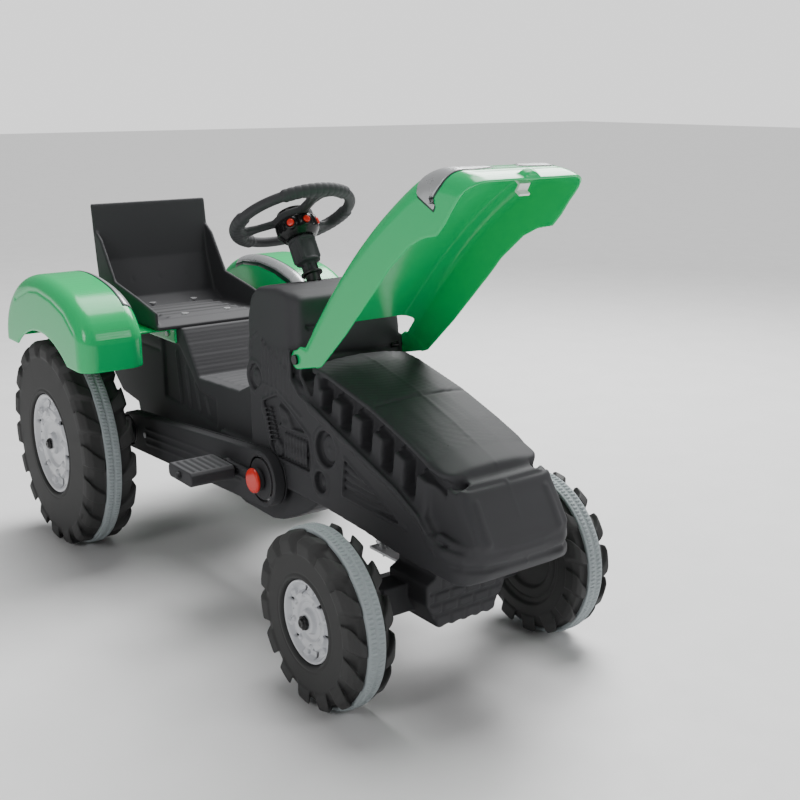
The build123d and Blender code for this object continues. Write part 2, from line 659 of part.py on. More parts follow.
def on_boss(angle, part):
    """Put a part built along +X at the boss's wall onto one side of the boss."""
    middle = (SLEEVE_END + BOSS_END) / 2 + 4
    return STEER_PLANE * Pos(0, 0, middle) * Rot(0, 0, angle) * part


def steering_boss():
    """The drum that holds the buttons, flared under the wheel."""
    cone = STEER_PLANE * Pos(0, 0, SLEEVE_END + 5) * Cone(BOSS_R - 8, BOSS_R, 10)
    drum = steer_rod(BOSS_R, SLEEVE_END + 10, BOSS_END)
    boss = cone + drum - steer_rod(STEER_SHAFT_R, SLEEVE_END - 1, BOSS_END + 1)
    wells = []
    for angle in button_angles().values():
        depth = 12
        well = Pos(BOSS_R - depth / 2 + 1, 0, 0) * Rot(0, 90, 0) * Cylinder(BUTTON_R + 0.3, depth + 2)
        wells.append(on_boss(angle, well))
    return boss - wells


def steering_button(angle):
    """One push button, proud of the boss by a little more than its stroke."""
    length = 9.0
    start = BOSS_R + BUTTON_STROKE + 1 - length
    stem = Pos(start + length / 2, 0, 0) * Rot(0, 90, 0) * Cylinder(BUTTON_R, length)
    return on_boss(angle, stem)


def steering_wheel():
    """Thick rim, three spokes and a hub plate."""
    half = STEER_RIM_T / 2
    outer = STEER_WHEEL_R
    section = [(outer - 22, -4), (outer - 14, -half + 2), (outer - 4, -half), (outer, -half + 4),
               (outer - 1, half - 4), (outer - 6, half), (outer - 16, half - 2), (outer - 22, 3)]
    ring = revolve(Plane.XZ * make_face(Polyline(*section, close=True)), axis=Axis.Z)
    hub = Pos(0, 0, -3) * Cylinder(BOSS_R - 2, 12)
    spokes = []
    for angle in (0, 120, 240):
        spokes.append(Rot(0, 0, angle) * Pos((outer - 12 + 20) / 2, 0, -3) * Box(outer - 12 - 20, 26, 8))
    wheel = hub + spokes + ring
    return STEER_PLANE * Pos(0, 0, WHEEL_AT) * wheel - steer_rod(STEER_SHAFT_R, WHEEL_AT - 20, WHEEL_AT + 20)


def steering_cap():
    """The plain round cap in the middle of the wheel."""
    cap = steer_rod(24, WHEEL_AT + 3, WHEEL_AT + 9)
    return cap - steer_rod(STEER_SHAFT_R, WHEEL_AT, WHEEL_AT + 6)


# ---------------------------------------------------------------- hood
def hood_crown():
    """The closed hood's middle line, running forward and down the nose."""
    return [(-183, 411), (-116, 401), (-33, 385), (57, 359), (126, 331), (166, 310), (190, 290), (206, 265),
            (218, 238), (222, 219)]


def hood_rim():
    """The closed hood's lower edge, running back from the nose."""
    return [(204, 226), (174, 231), (154, 233), (133, 238), (114, 258), (90, 274), (42, 292), (-2, 302),
            (-97, 326), (-172, 349), (-183, 358)]


def crowned_solid(line, floor_points, half_width, shoulder, round_ends=False):
    """A prism under a smooth top line, with its two long top edges rounded, and its upright ends if wanted."""
    top = Spline(*line)
    rest = Polyline(line[-1], *floor_points, line[0])
    solid = extrude(Plane.XZ * make_face([top, rest]), amount=half_width, both=True)
    long_edges = [edge for edge in solid.edges() if edge.geom_type == GeomType.BSPLINE]
    if round_ends:
        upright = solid.edges().filter_by(Axis.Z)
        long_edges += [edge for edge in upright if abs(edge.center().Y) > half_width - 1]
    return fillet(long_edges, shoulder)


def hood_closed():
    """The hood in its closed place: a thin shell with rounded shoulders and two rear ears."""
    outer = crowned_solid(hood_crown(), hood_rim(), HOOD_HALF_W, HOOD_SHOULDER_R)
    inner_line = shifted(hood_crown(), HOOD_WALL)
    first, last = inner_line[0], inner_line[-1]
    inner_line = [(first[0] - 20, first[1] + 3)] + inner_line + [(last[0] + 1, last[1] - 40)]
    below = [(last[0] - 60, 120), (first[0] - 20, 120)]
    inner = crowned_solid(inner_line, below, HOOD_HALF_W - HOOD_WALL, HOOD_SHOULDER_R - HOOD_WALL)
    web_end = block(-230, -150, -HOOD_HALF_W + 6, HOOD_HALF_W - 6, 300, 450)
    grip = rod_z(hood_crown()[-2][0] - HOOD_GRIP_R * 0.45, 0, HOOD_GRIP_R, 223, 234)
    shell = outer + grip - inner - web_end
    ear_outline = [(-172, 352), (-183, 360), (HOOD_HINGE_X - 12, HOOD_HINGE_Z - 8),
                   (HOOD_HINGE_X, HOOD_HINGE_Z + 14),
                   (-183, 405), (-172, 372)]
    ear = slab_between(ear_outline, HOOD_HALF_W - 4, HOOD_HALF_W)
    ear = ear + rod_y(HOOD_HINGE_X, HOOD_HINGE_Z, HOOD_EAR_R, HOOD_HALF_W - 4, HOOD_HALF_W)
    ear = ear - rod_y(HOOD_HINGE_X, HOOD_HINGE_Z, HINGE_PIN_R + RUN, 0, HOOD_HALF_W + 1)
    return shell + ear + left_of(ear)


def raised(part):
    """Turn a closed hood piece up to its open place."""
    hinge = Axis((HOOD_HINGE_X, 0, HOOD_HINGE_Z), (0, -1, 0))
    return part.rotate(hinge, HOOD_OPEN_ANGLE)


def hood_catch_closed():
    """The small white spring clip inside the nose."""
    back = block(206, 209, -8, 8, 228, 252)
    hook = block(196, 209, -8, 8, 228, 231) + block(196, 199, -8, 8, 222, 231)
    return back + hook


def hood_hinge_pins():
    """Two shouldered pins through the hood's ears into the cowl."""
    inner = COWL_FRONT_HALF_W - 14
    head = HOOD_HALF_W + SIDE_GAP
    pins = []
    for side in (-1, 1):
        low, high = sorted((side * inner, side * head))
        head_low, head_high = sorted((side * head, side * (head + 3)))
        pins.append(rod_y(HOOD_HINGE_X, HOOD_HINGE_Z, HINGE_PIN_R, low, high)
                    + rod_y(HOOD_HINGE_X, HOOD_HINGE_Z, HINGE_PIN_R + 3, head_low, head_high))
    return Part() + pins


# ---------------------------------------------------------------- crank, pedals and chain
def crank_shaft():
    """The steel crank shaft, across the body."""
    reach = ARM_Y + CRANK_ARM_T
    return rod_y(CRANK_X, CRANK_Z, CRANK_R, -reach, reach)


def crank_arm(side):
    """A crank arm with its pedal spindle: the right one points back, the left one forward."""
    low, high = sorted((side * ARM_Y, side * (ARM_Y + CRANK_ARM_T)))
    pedal_x = CRANK_X + side * CRANK_THROW
    arm = block(min(CRANK_X, pedal_x), max(CRANK_X, pedal_x), low, high, CRANK_Z - 9, CRANK_Z + 9)
    arm = arm + rod_y(CRANK_X, CRANK_Z, 17, low, high) + rod_y(pedal_x, CRANK_Z, 11, low, high)
    tip = ARM_Y + CRANK_ARM_T + 10 + PEDAL_W
    spindle_low, spindle_high = sorted((side * ARM_Y, side * tip))
    arm = arm + rod_y(pedal_x, CRANK_Z, PEDAL_SPINDLE_R, spindle_low, spindle_high)
    return arm - rod_y(CRANK_X, CRANK_Z, CRANK_R, -200, 200)


def crank_cap(side):
    """The red domed cap over the end of the crank shaft."""
    start = ARM_Y + CRANK_ARM_T
    low, high = sorted((side * start, side * (start + 6)))
    blank = rod_y(CRANK_X, CRANK_Z, RED_CAP_R, low, high)
    outer_edges = [edge for edge in blank.edges() if abs(abs(edge.center().Y) - start - 6) < 0.1
                   and edge.geom_type == GeomType.CIRCLE]
    return fillet(outer_edges, 4)


def pedal(side):
    """A block pedal with ribs, free on its spindle."""
    pedal_x = CRANK_X + side * CRANK_THROW
    start = ARM_Y + CRANK_ARM_T + 4
    low, high = sorted((side * start, side * (start + PEDAL_W)))
    half_l, half_h = PEDAL_LENGTH / 2, PEDAL_H / 2
    body = block(pedal_x - half_l, pedal_x + half_l, low, high, CRANK_Z - half_h, CRANK_Z + half_h)
    body = chamfer(body.edges().filter_by(Axis.Y), 5)
    cuts = []
    for index in range(6):
        y = low + 8 + index * (PEDAL_W - 16) / 5
        for top in (half_h, -half_h):
            cuts.append(block(pedal_x - half_l + 8, pedal_x + half_l - 8, y - 3, y + 3,
                              CRANK_Z + top - 2, CRANK_Z + top + 2))
    return body - cuts - rod_y(pedal_x, CRANK_Z, PEDAL_SPINDLE_R + RUN, -400, 400)


def sprocket(radius, teeth, shaft_r):
    """A toothed wheel on the Y axis, in the middle of its thickness."""
    disc = rod_y(0, 0, radius - 4, -SPROCKET_T / 2, SPROCKET_T / 2)
    share = pi * radius / teeth
    tooth_points = [(radius - 6, -share * 0.55), (radius, -share * 0.2), (radius, share * 0.2),
                    (radius - 6, share * 0.55)]
    tooth = extrude(Plane.XZ * make_face(Polyline(*tooth_points, close=True)), amount=SPROCKET_T / 2, both=True)
    wheel = disc + [Rot(0, index * 360 / teeth, 0) * tooth for index in range(teeth)]
    return wheel - rod_y(0, 0, shaft_r, -SPROCKET_T, SPROCKET_T)


def case_plate():
    """The chain case's flat back plate, against the body's side."""
    rear_r = REAR_SPROCKET_R + 14
    ends = (CRANK_X, CRANK_Z, CASE_FRONT_R, -WHEELBASE, REAR_AXLE_Z, rear_r)
    plate = belt_slab(*ends, -CASE_PLATE_Y, -CASE_INNER_Y)
    plate = plate - rod_y(CRANK_X, CRANK_Z, CRANK_R + 2, -CASE_OUTER_Y - 5, 0)
    plate = plate - rod_y(-WHEELBASE, REAR_AXLE_Z, REAR_AXLE_R + 2, -CASE_OUTER_Y - 5, 0)
    return plate - [rod_y(x, z, 2.5, -CASE_OUTER_Y - 5, 0) for x, z in case_screw_places()]


def case_cover():
    """The chain case's outer half, a long shallow cup."""
    rear_r = REAR_SPROCKET_R + 14
    ends = (CRANK_X, CRANK_Z, CASE_FRONT_R, -WHEELBASE, REAR_AXLE_Z, rear_r)
    inner = (CRANK_X, CRANK_Z, CASE_FRONT_R - CASE_WALL, -WHEELBASE, REAR_AXLE_Z, rear_r - CASE_WALL)
    cup = belt_slab(*ends, -CASE_OUTER_Y, -CASE_PLATE_Y)
    cup = cup - belt_slab(*inner, -CASE_OUTER_Y + CASE_WALL, -CASE_PLATE_Y + 1)
    pillars = [rod_y(x, z, 6, -CASE_OUTER_Y, -CASE_PLATE_Y) for x, z in case_screw_places()]
    cup = cup + pillars
    cup = cup - rod_y(CRANK_X, CRANK_Z, CRANK_R + 2, -CASE_OUTER_Y - 5, 0)
    cup = cup - rod_y(-WHEELBASE, REAR_AXLE_Z, REAR_AXLE_R + 2, -CASE_OUTER_Y - 5, 0)
    return cup - [rod_y(x, z, 2.5, -CASE_OUTER_Y - 5, 0) for x, z in case_screw_places()]


def case_screw_places():
    """Two screws on the case's middle line, between the chain's two runs."""
    return [(CRANK_X - share * (WHEELBASE + CRANK_X), CRANK_Z - share * (CRANK_Z - REAR_AXLE_Z))
            for share in (0.11, 0.86)]


def case_screws():
    """The screws that hold both halves of the chain case to the body."""
    screws = []
    for x, z in case_screw_places():
        screws.append(rod_y(x, z, 2.5, -CASE_OUTER_Y, -SPINE_HALF_W + 10)
                      + rod_y(x, z, 5, -CASE_OUTER_Y - 1.4, -CASE_OUTER_Y))
    return Part() + screws


def drive_chain():
    """The chain as two plate bands joined by rollers, running just outside the sprockets' tips."""
    front_r = CHAIN_WHEEL_R + TIP_GAP
    rear_r = REAR_SPROCKET_R + TIP_GAP
    roller_r = 2.5
    ends = (CRANK_X, CRANK_Z, -WHEELBASE, REAR_AXLE_Z)

    def loop(extra, y_low, y_high):
        return belt_slab(ends[0], ends[1], front_r + extra, ends[2], ends[3], rear_r + extra, y_low, y_high)

    bands = []
    for side in (-1, 1):
        near = -SPROCKET_Y + side * (SPROCKET_T / 2 + 0.4)
        far = near + side * 1.2
        low, high = sorted((near, far))
        bands.append(loop(2 * roller_r + 1, low, high) - loop(-1, low - 1, high + 1))
    gap = hypot(WHEELBASE + CRANK_X, CRANK_Z - REAR_AXLE_Z)
    lean = atan2(CRANK_Z - REAR_AXLE_Z, WHEELBASE + CRANK_X)
    dip = (front_r - rear_r) / gap
    rollers = []
    reach = SPROCKET_T / 2 + 0.4 + 1.2
    for sign in (1, -1):
        nx = cos(lean) * dip - sin(lean) * (1 - dip * dip) ** 0.5 * sign
        nz = sin(lean) * dip + cos(lean) * (1 - dip * dip) ** 0.5 * sign
        for index in range(31):
            share = index / 30
            radius = front_r + (rear_r - front_r) * share + roller_r
            x = CRANK_X - share * (WHEELBASE + CRANK_X) + nx * radius
            z = CRANK_Z - share * (CRANK_Z - REAR_AXLE_Z) + nz * radius
            rollers.append(rod_y(x, z, roller_r, -SPROCKET_Y - reach, -SPROCKET_Y + reach))
    for index in range(1, 6):
        angle = radians(-90 + index * 30) + lean
        radius = front_r + roller_r
        rollers.append(rod_y(CRANK_X + cos(angle) * radius, CRANK_Z + sin(angle) * radius, roller_r,
                             -SPROCKET_Y - reach, -SPROCKET_Y + reach))
    for index in range(1, 4):
        angle = radians(90 + index * 45) + lean
        radius = rear_r + roller_r
        rollers.append(rod_y(-WHEELBASE + cos(angle) * radius, REAR_AXLE_Z + sin(angle) * radius, roller_r,
                             -SPROCKET_Y - reach, -SPROCKET_Y + reach))
    return Part() + bands + rollers


def rear_axle():
    """The rear axle, a plain rod through the housing and both wheels."""
    face = REAR_HALF_TRACK + REAR_TYRE_W / 2 - RIM_WALL
    return rod_y(-WHEELBASE, REAR_AXLE_Z, REAR_AXLE_R, -face - 5, face + 5)


def rear_spacers():
    """Spacer tubes between the housing and the rear wheels."""
    hub = REAR_HALF_TRACK - REAR_TYRE_W / 2 + 12
    tubes = []
    for side in (-1, 1):
        start = CASE_OUTER_Y + 2 if side < 0 else SPINE_HALF_W + 4 + SIDE_GAP
        low, high = sorted((side * start, side * (hub - SIDE_GAP)))
        tubes.append(rod_y(-WHEELBASE, REAR_AXLE_Z, REAR_AXLE_R + 4, low, high))
    return Part() + tubes - rod_y(-WHEELBASE, REAR_AXLE_Z, REAR_AXLE_R, -300, 300)


# ---------------------------------------------------------------- fenders, seat and hitch
def fender_line():
    """The fender's top line, running forward."""
    return [(-948, 330), (-930, 395), (-880, 440), (-810, 464), (-746, 468), (-684, 461), (-632, 447),
            (-592, 420), (-572, 380)]


def fender_screw_places():
    return [(-660, DECK_Z - 14), (-850, DECK_Z - 14)]


def fender(side):
    """A wheel arch with an inner wall and a foot screwed to the seat deck."""
    line = fender_line()
    y_low, y_high = FENDER_INNER_Y, FENDER_OUTER_Y
    half = (y_high - y_low) / 2
    outer = crowned_solid(line, [(line[-1][0], 300), (line[0][0], 300)], half, FENDER_SHOULDER_R, True)
    inner_line = shifted(line, FENDER_T)
    inner = crowned_solid(inner_line, [(inner_line[-1][0], 300), (inner_line[0][0], 300)],
                          half - FENDER_T, FENDER_SHOULDER_R - FENDER_T, True)
    arch = Pos(0, (y_low + y_high) / 2, 0) * (outer - inner)
    arch = arch - block(-1000, -500, 0, y_high + 10, 200, REAR_AXLE_Z + REAR_WHEEL_R * 0.86)
    arch = arch - rod_y(-WHEELBASE, REAR_AXLE_Z, REAR_WHEEL_R + WHEEL_ARCH_GAP, y_low + 10, y_high + 10)
    shelf = block(-880, -630, SPINE_HALF_W, y_low + 1, DECK_Z - 4, DECK_Z)
    foot = block(-880, -630, SPINE_HALF_W, SPINE_HALF_W + 4, DECK_Z - 28, DECK_Z)
    piece = arch + shelf + foot
    piece = piece - [rod_y(x, z, 2.5, 0, 100) for x, z in fender_screw_places()]
    return piece if side > 0 else left_of(piece)


def fender_screws():
    """Screws through each fender's foot into the body."""
    screws = []
    start = SPINE_HALF_W + 4
    for x, z in fender_screw_places():
        screw = rod_y(x, z, 2.5, SPINE_HALF_W - 8, start) + rod_y(x, z, 5, start, start + 2.5)
        screws += [screw, left_of(screw)]
    return Part() + screws


def seat_bolt_places():
    return [(-660, -40), (-660, 40), (-790, -40), (-790, 40)]


def seat_shell():
    """A moulded bucket seat: pan, backrest and low side wings."""
    t = SEAT_T
    top = [(-618, DECK_Z + t), (-640, DECK_Z + 14), (-700, DECK_Z + 10), (-800, DECK_Z + t + 2),
           (-832, DECK_Z + 22), (-856, DECK_Z + 90), (-868, DECK_Z + 190)]
    under = [(-876, DECK_Z + 190), (-864, DECK_Z + 86), (-842, DECK_Z + 16), (-812, DECK_Z), (-618, DECK_Z)]
    pan = slab(top + under, SEAT_HALF_W)
    wing_outline = [(-625, DECK_Z), (-625, DECK_Z + 30), (-700, DECK_Z + 46), (-790, DECK_Z + 62),
                    (-840, DECK_Z + 130), (-872, DECK_Z + 150), (-860, DECK_Z + 60), (-835, DECK_Z)]
    wing = slab_between(wing_outline, SEAT_HALF_W - t, SEAT_HALF_W)
    seat = pan + wing + left_of(wing)
    return seat - [rod_z(x, y, 3, DECK_Z - 5, DECK_Z + 40) for x, y in seat_bolt_places()]


def seat_bolts():
    """Four bolts through the seat pan into the deck."""
    bolts = []
    for x, y in seat_bolt_places():
        head = DECK_Z + 14.5
        bolts.append(rod_z(x, y, 3, DECK_Z - 14, head) + rod_z(x, y, 6, head, head + 3))
    return Part() + bolts


def tow_hitch():
    """The flat tow eye at the rear of the body."""
    plate = block(-946, -916, -16, 16, 268, 276) + rod_z(-946, 0, 16, 268, 276)
    flange = block(-921, -916, -24, 24, 252, 292)
    return plate + flange - rod_z(-946, 0, HITCH_HOLE_R, 260, 280)


# ---------------------------------------------------------------- assembly
def all_nodes():
    """Every piece by name, placed in the working frame."""
    nodes = {
        "body_shell": body_shell(),
        "front_axle_beam": front_axle_beam(),
        "front_axle_bolts": front_axle_bolts(),
        "kingpins": kingpins(),
        "steering_bushes": steering_bushes(),
        "crank_bushes": crank_bushes(),
        "rear_axle_bushes": rear_axle_bushes(),
        "hood_hinge_pins": hood_hinge_pins(),
        "chain_case_plate": case_plate(),
        "chain_case_cover": case_cover(),
        "chain_case_screws": case_screws(),
        "drive_chain": drive_chain(),
        "fender_right": fender(-1),
        "fender_left": fender(1),
        "fender_screws": fender_screws(),
        "seat_shell": seat_shell(),
        "seat_bolts": seat_bolts(),
        "tow_hitch": tow_hitch(),
        "hood_shell": raised(hood_closed()),
        "hood_catch": raised(hood_catch_closed()),
        "steering_shaft": steering_shaft(),
        "steering_sleeve": steering_sleeve(),
        "steering_boss": steering_boss(),
        "steering_wheel": steering_wheel(),
        "steering_cap": steering_cap(),
        "tie_rod": tie_rod(),
        "knuckle_right": knuckle_right(),
        "knuckle_left": left_of(knuckle_right()),
        "rear_axle": rear_axle(),
        "rear_spacers": rear_spacers(),
        "crank_shaft": crank_shaft(),
        "crank_arm_right": crank_arm(-1),
        "crank_arm_left": crank_arm(1),
        "crank_cap_right": crank_cap(-1),
        "crank_cap_left": crank_cap(1),
        "pedal_right": pedal(-1),
        "pedal_left": pedal(1),
    }
    for name, angle in button_angles().items():
        nodes[f"steering_button_{name}"] = steering_button(angle)
    wheel = sprocket(CHAIN_WHEEL_R, CHAIN_WHEEL_TEETH, CRANK_R)
    nodes["chain_wheel"] = Pos(CRANK_X, -SPROCKET_Y, CRANK_Z) * wheel
    small = sprocket(REAR_SPROCKET_R, REAR_SPROCKET_TEETH, REAR_AXLE_R)
    nodes["rear_sprocket"] = Pos(-WHEELBASE, -SPROCKET_Y, REAR_AXLE_Z) * small
    nodes.update(wheel_nodes("front", 0, FRONT_HALF_TRACK, FRONT_AXLE_Z, FRONT_WHEEL_R, FRONT_TYRE_W,
                             FRONT_RIM_R, FRONT_AXLE_R, FRONT_LUGS))
    nodes.update(wheel_nodes("rear", -WHEELBASE, REAR_HALF_TRACK, REAR_AXLE_Z, REAR_WHEEL_R, REAR_TYRE_W,
                             REAR_RIM_R, REAR_AXLE_R, REAR_LUGS))
    return nodes


def main():
    os.makedirs("parts", exist_ok=True)
    nodes = all_nodes()
    boxes = [part.bounding_box() for part in nodes.values()]
    middle_x = (min(box.min.X for box in boxes) + max(box.max.X for box in boxes)) / 2
    for name, part in nodes.items():
        export_step(Pos(-middle_x, 0, 0) * part, f"parts/{name}.step")
    print("front axle at x =", round(-middle_x, 3))


if __name__ == "__main__":
    main()
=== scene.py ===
"""Looks of a child's ride-on pedal tractor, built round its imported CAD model.

The moulded pieces are shaped as blocks of clay on a regular grid: each starts as a CAD node's own
form or from plain solids, is added to and cut, has its edges softened as a mould leaves them, and is
then turned into a mesh. Lengths inside the clay are millimetres, and finished meshes are metres.
"""

import sys

import json
import logging
import math
from dataclasses import dataclass, field
from enum import Enum
from typing import Any, Callable, Iterable, Sequence

import bpy
import numpy as np
import openvdb
from mathutils import Matrix, Vector
from mathutils.bvhtree import BVHTree

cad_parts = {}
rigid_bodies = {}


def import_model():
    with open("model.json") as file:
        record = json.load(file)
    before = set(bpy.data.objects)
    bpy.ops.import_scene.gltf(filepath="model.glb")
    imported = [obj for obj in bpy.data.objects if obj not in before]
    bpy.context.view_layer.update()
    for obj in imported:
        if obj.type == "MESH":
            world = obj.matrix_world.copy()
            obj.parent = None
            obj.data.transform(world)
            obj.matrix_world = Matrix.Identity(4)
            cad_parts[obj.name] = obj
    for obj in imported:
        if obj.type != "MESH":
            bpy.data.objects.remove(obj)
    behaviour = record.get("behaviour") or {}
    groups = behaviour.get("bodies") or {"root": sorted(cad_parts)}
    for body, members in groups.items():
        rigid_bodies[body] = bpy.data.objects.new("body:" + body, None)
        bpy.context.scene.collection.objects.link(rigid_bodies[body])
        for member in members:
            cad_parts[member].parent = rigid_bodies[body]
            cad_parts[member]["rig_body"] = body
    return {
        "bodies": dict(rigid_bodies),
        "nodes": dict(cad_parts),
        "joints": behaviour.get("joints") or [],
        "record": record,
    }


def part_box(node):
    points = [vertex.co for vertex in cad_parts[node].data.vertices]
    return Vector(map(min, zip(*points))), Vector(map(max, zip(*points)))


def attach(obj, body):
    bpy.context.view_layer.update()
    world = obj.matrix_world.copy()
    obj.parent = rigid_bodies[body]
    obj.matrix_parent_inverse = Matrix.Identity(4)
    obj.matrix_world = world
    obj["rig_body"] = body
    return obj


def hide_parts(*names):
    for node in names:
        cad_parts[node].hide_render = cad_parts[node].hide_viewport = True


log = logging.getLogger("tractor")

MM = 0.001
Array = np.ndarray
Point2 = tuple[float, float]
Point3 = tuple[float, float, float]
Colour = tuple[float, float, float]


# ------------------------------------------------------------------ distance fields
@dataclass(frozen=True)
class Solid:
    """A form given by its signed distance, in millimetres, and a box that holds it.

    Args:
        low: Lowest corner of the box.
        high: Highest corner of the box.
        distance: Takes x, y and z grids and returns distances, negative inside.
    """

    low: Point3
    high: Point3
    distance: Callable[[Array, Array, Array], Array]

    def both_sides(self) -> "Solid":
        """The form on the left, with its mirror image on the right."""
        reach = max(abs(self.low[1]), abs(self.high[1]))
        low = (self.low[0], -reach, self.low[2])
        high = (self.high[0], reach, self.high[2])
        return Solid(low, high, lambda x, y, z: self.distance(x, np.abs(y), z))

    def shifted(self, move: Point3) -> "Solid":
        """The form moved by a distance along each axis."""
        low = tuple(a + b for a, b in zip(self.low, move))
        high = tuple(a + b for a, b in zip(self.high, move))
        return Solid(low, high, lambda x, y, z: self.distance(x - move[0], y - move[1], z - move[2]))


def outline_distance(u: Array, v: Array, corners: Sequence[Point2]) -> Array:
    """Signed distance to a closed outline in a plane.

    Args:
        u: First coordinate of each place.
        v: Second coordinate of each place.
        corners: The outline's corners, in either direction.

    Returns:
        Distances, negative inside.
    """
    u, v = np.broadcast_arrays(u, v)
    nearest = np.full(u.shape, 1e12, np.float32)
    inside = np.zeros(u.shape, bool)
    for (u1, v1), (u2, v2) in zip(corners, list(corners[1:]) + [corners[0]]):
        run_u, run_v = u2 - u1, v2 - v1
        length = run_u * run_u + run_v * run_v
        if length == 0:
            continue
        share = np.clip(((u - u1) * run_u + (v - v1) * run_v) / length, 0, 1)
        nearest = np.minimum(nearest, (u - u1 - share * run_u) ** 2 + (v - v1 - share * run_v) ** 2)
        if run_v:
            crossing = ((v1 > v) != (v2 > v)) & (u < run_u * (v - v1) / run_v + u1)
            inside ^= crossing
    return np.where(inside, -1, 1) * np.sqrt(nearest)


def joined(flat: Array, across: Array, rounding: float = 0.0) -> Array:
    """Distance to a straight extrusion, from its outline's distance and the distance past its ends."""
    flat, across = flat + rounding, across + rounding
    corner = np.hypot(np.maximum(flat, 0), np.maximum(across, 0))
    return np.minimum(np.maximum(flat, across), 0) + corner - rounding


def plate(corners: Sequence[Point2], y_low: float, y_high: float, rounding: float = 0.0) -> Solid:
    """A plate with a side-view outline of (x, z) corners, between two widths.

    Args:
        corners: Outline corners.
        y_low: Right face.
        y_high: Left face.
        rounding: Radius of its edges.

    Returns:
        The plate.
    """
    xs, zs = [c[0] for c in corners], [c[1] for c in corners]
    middle, half = (y_low + y_high) / 2, (y_high - y_low) / 2

    def distance(x: Array, y: Array, z: Array) -> Array:
        return joined(outline_distance(x, z, corners), np.abs(y - middle) - half, rounding)

    return Solid((min(xs), y_low, min(zs)), (max(xs), y_high, max(zs)), distance)


def rod(centre: Point3, radius: float, length: float, axis: int, rounding: float = 0.0) -> Solid:
    """A round rod along one axis.

    Args:
        centre: Its middle.
        radius: Its radius.
        length: Its length.
        axis: 0, 1 or 2, for x, y or z.
        rounding: Radius of its two rims.

    Returns:
        The rod.
    """
    reach = [radius] * 3
    reach[axis] = length / 2
    low = tuple(c - r for c, r in zip(centre, reach))
    high = tuple(c + r for c, r in zip(centre, reach))

    def distance(x: Array, y: Array, z: Array) -> Array:
        parts = [x - centre[0], y - centre[1], z - centre[2]]
        along = parts.pop(axis)
        return joined(np.hypot(*parts) - radius, np.abs(along) - length / 2, rounding)

    return Solid(low, high, distance)


def ring(centre: Point3, radius: float, width: float, length: float, axis: int) -> Solid:
    """A flat ring round one axis: radius is to the middle of its width."""
    outer = rod(centre, radius + width / 2, length, axis)

    def distance(x: Array, y: Array, z: Array) -> Array:
        parts = [x - centre[0], y - centre[1], z - centre[2]]
        along = parts.pop(axis)
        return joined(np.abs(np.hypot(*parts) - radius) - width / 2, np.abs(along) - length / 2)

    return Solid(outer.low, outer.high, distance)


def brick(low: Point3, high: Point3, rounding: float = 0.0) -> Solid:
    """A box between two corners, with rounded edges."""
    middle = [(a + b) / 2 for a, b in zip(low, high)]
    half = [(b - a) / 2 - rounding for a, b in zip(low, high)]

    def distance(x: Array, y: Array, z: Array) -> Array:
        gaps = [np.abs(v - m) - h for v, m, h in zip((x, y, z), middle, half)]
        outside = np.sqrt(sum(np.maximum(gap, 0) ** 2 for gap in gaps))
        inside = np.minimum(np.maximum(np.maximum(gaps[0], gaps[1]), gaps[2]), 0)
        return outside + inside - rounding

    return Solid(low, high, distance)


def bead(points: Sequence[Point3], radius: float) -> Solid:
    """A round bead along a line of straight runs."""
    low = tuple(min(p[i] for p in points) - radius for i in range(3))
    high = tuple(max(p[i] for p in points) + radius for i in range(3))

    def distance(x: Array, y: Array, z: Array) -> Array:
        best = np.float32(1e12)
        for start, end in zip(points, points[1:]):
            run = [b - a for a, b in zip(start, end)]
            length = sum(r * r for r in run)
            off = [v - a for v, a in zip((x, y, z), start)]
            share = np.clip(sum(o * r for o, r in zip(off, run)) / length, 0, 1)
            best = np.minimum(best, sum((o - share * r) ** 2 for o, r in zip(off, run)))
        return np.sqrt(best) - radius

    return Solid(low, high, distance)


def dome(centre: Point3, radii: Point3) -> Solid:
    """An egg-shaped lump with a radius along each axis."""
    low = tuple(c - r for c, r in zip(centre, radii))
    high = tuple(c + r for c, r in zip(centre, radii))

    def distance(x: Array, y: Array, z: Array) -> Array:
        share = np.sqrt(sum(((v - c) / r) ** 2 for v, c, r in zip((x, y, z), centre, radii)))
        return (share - 1) * min(radii)

    return Solid(low, high, distance)


def soft_least(a: Array, b: Array, blend: float) -> Array:
    """The lesser of two distances, with a rounded change-over of the given size."""
    if blend <= 0:
        return np.minimum(a, b)
    near = np.maximum(blend - np.abs(a - b), 0) / blend
    return np.minimum(a, b) - near * near * blend / 4


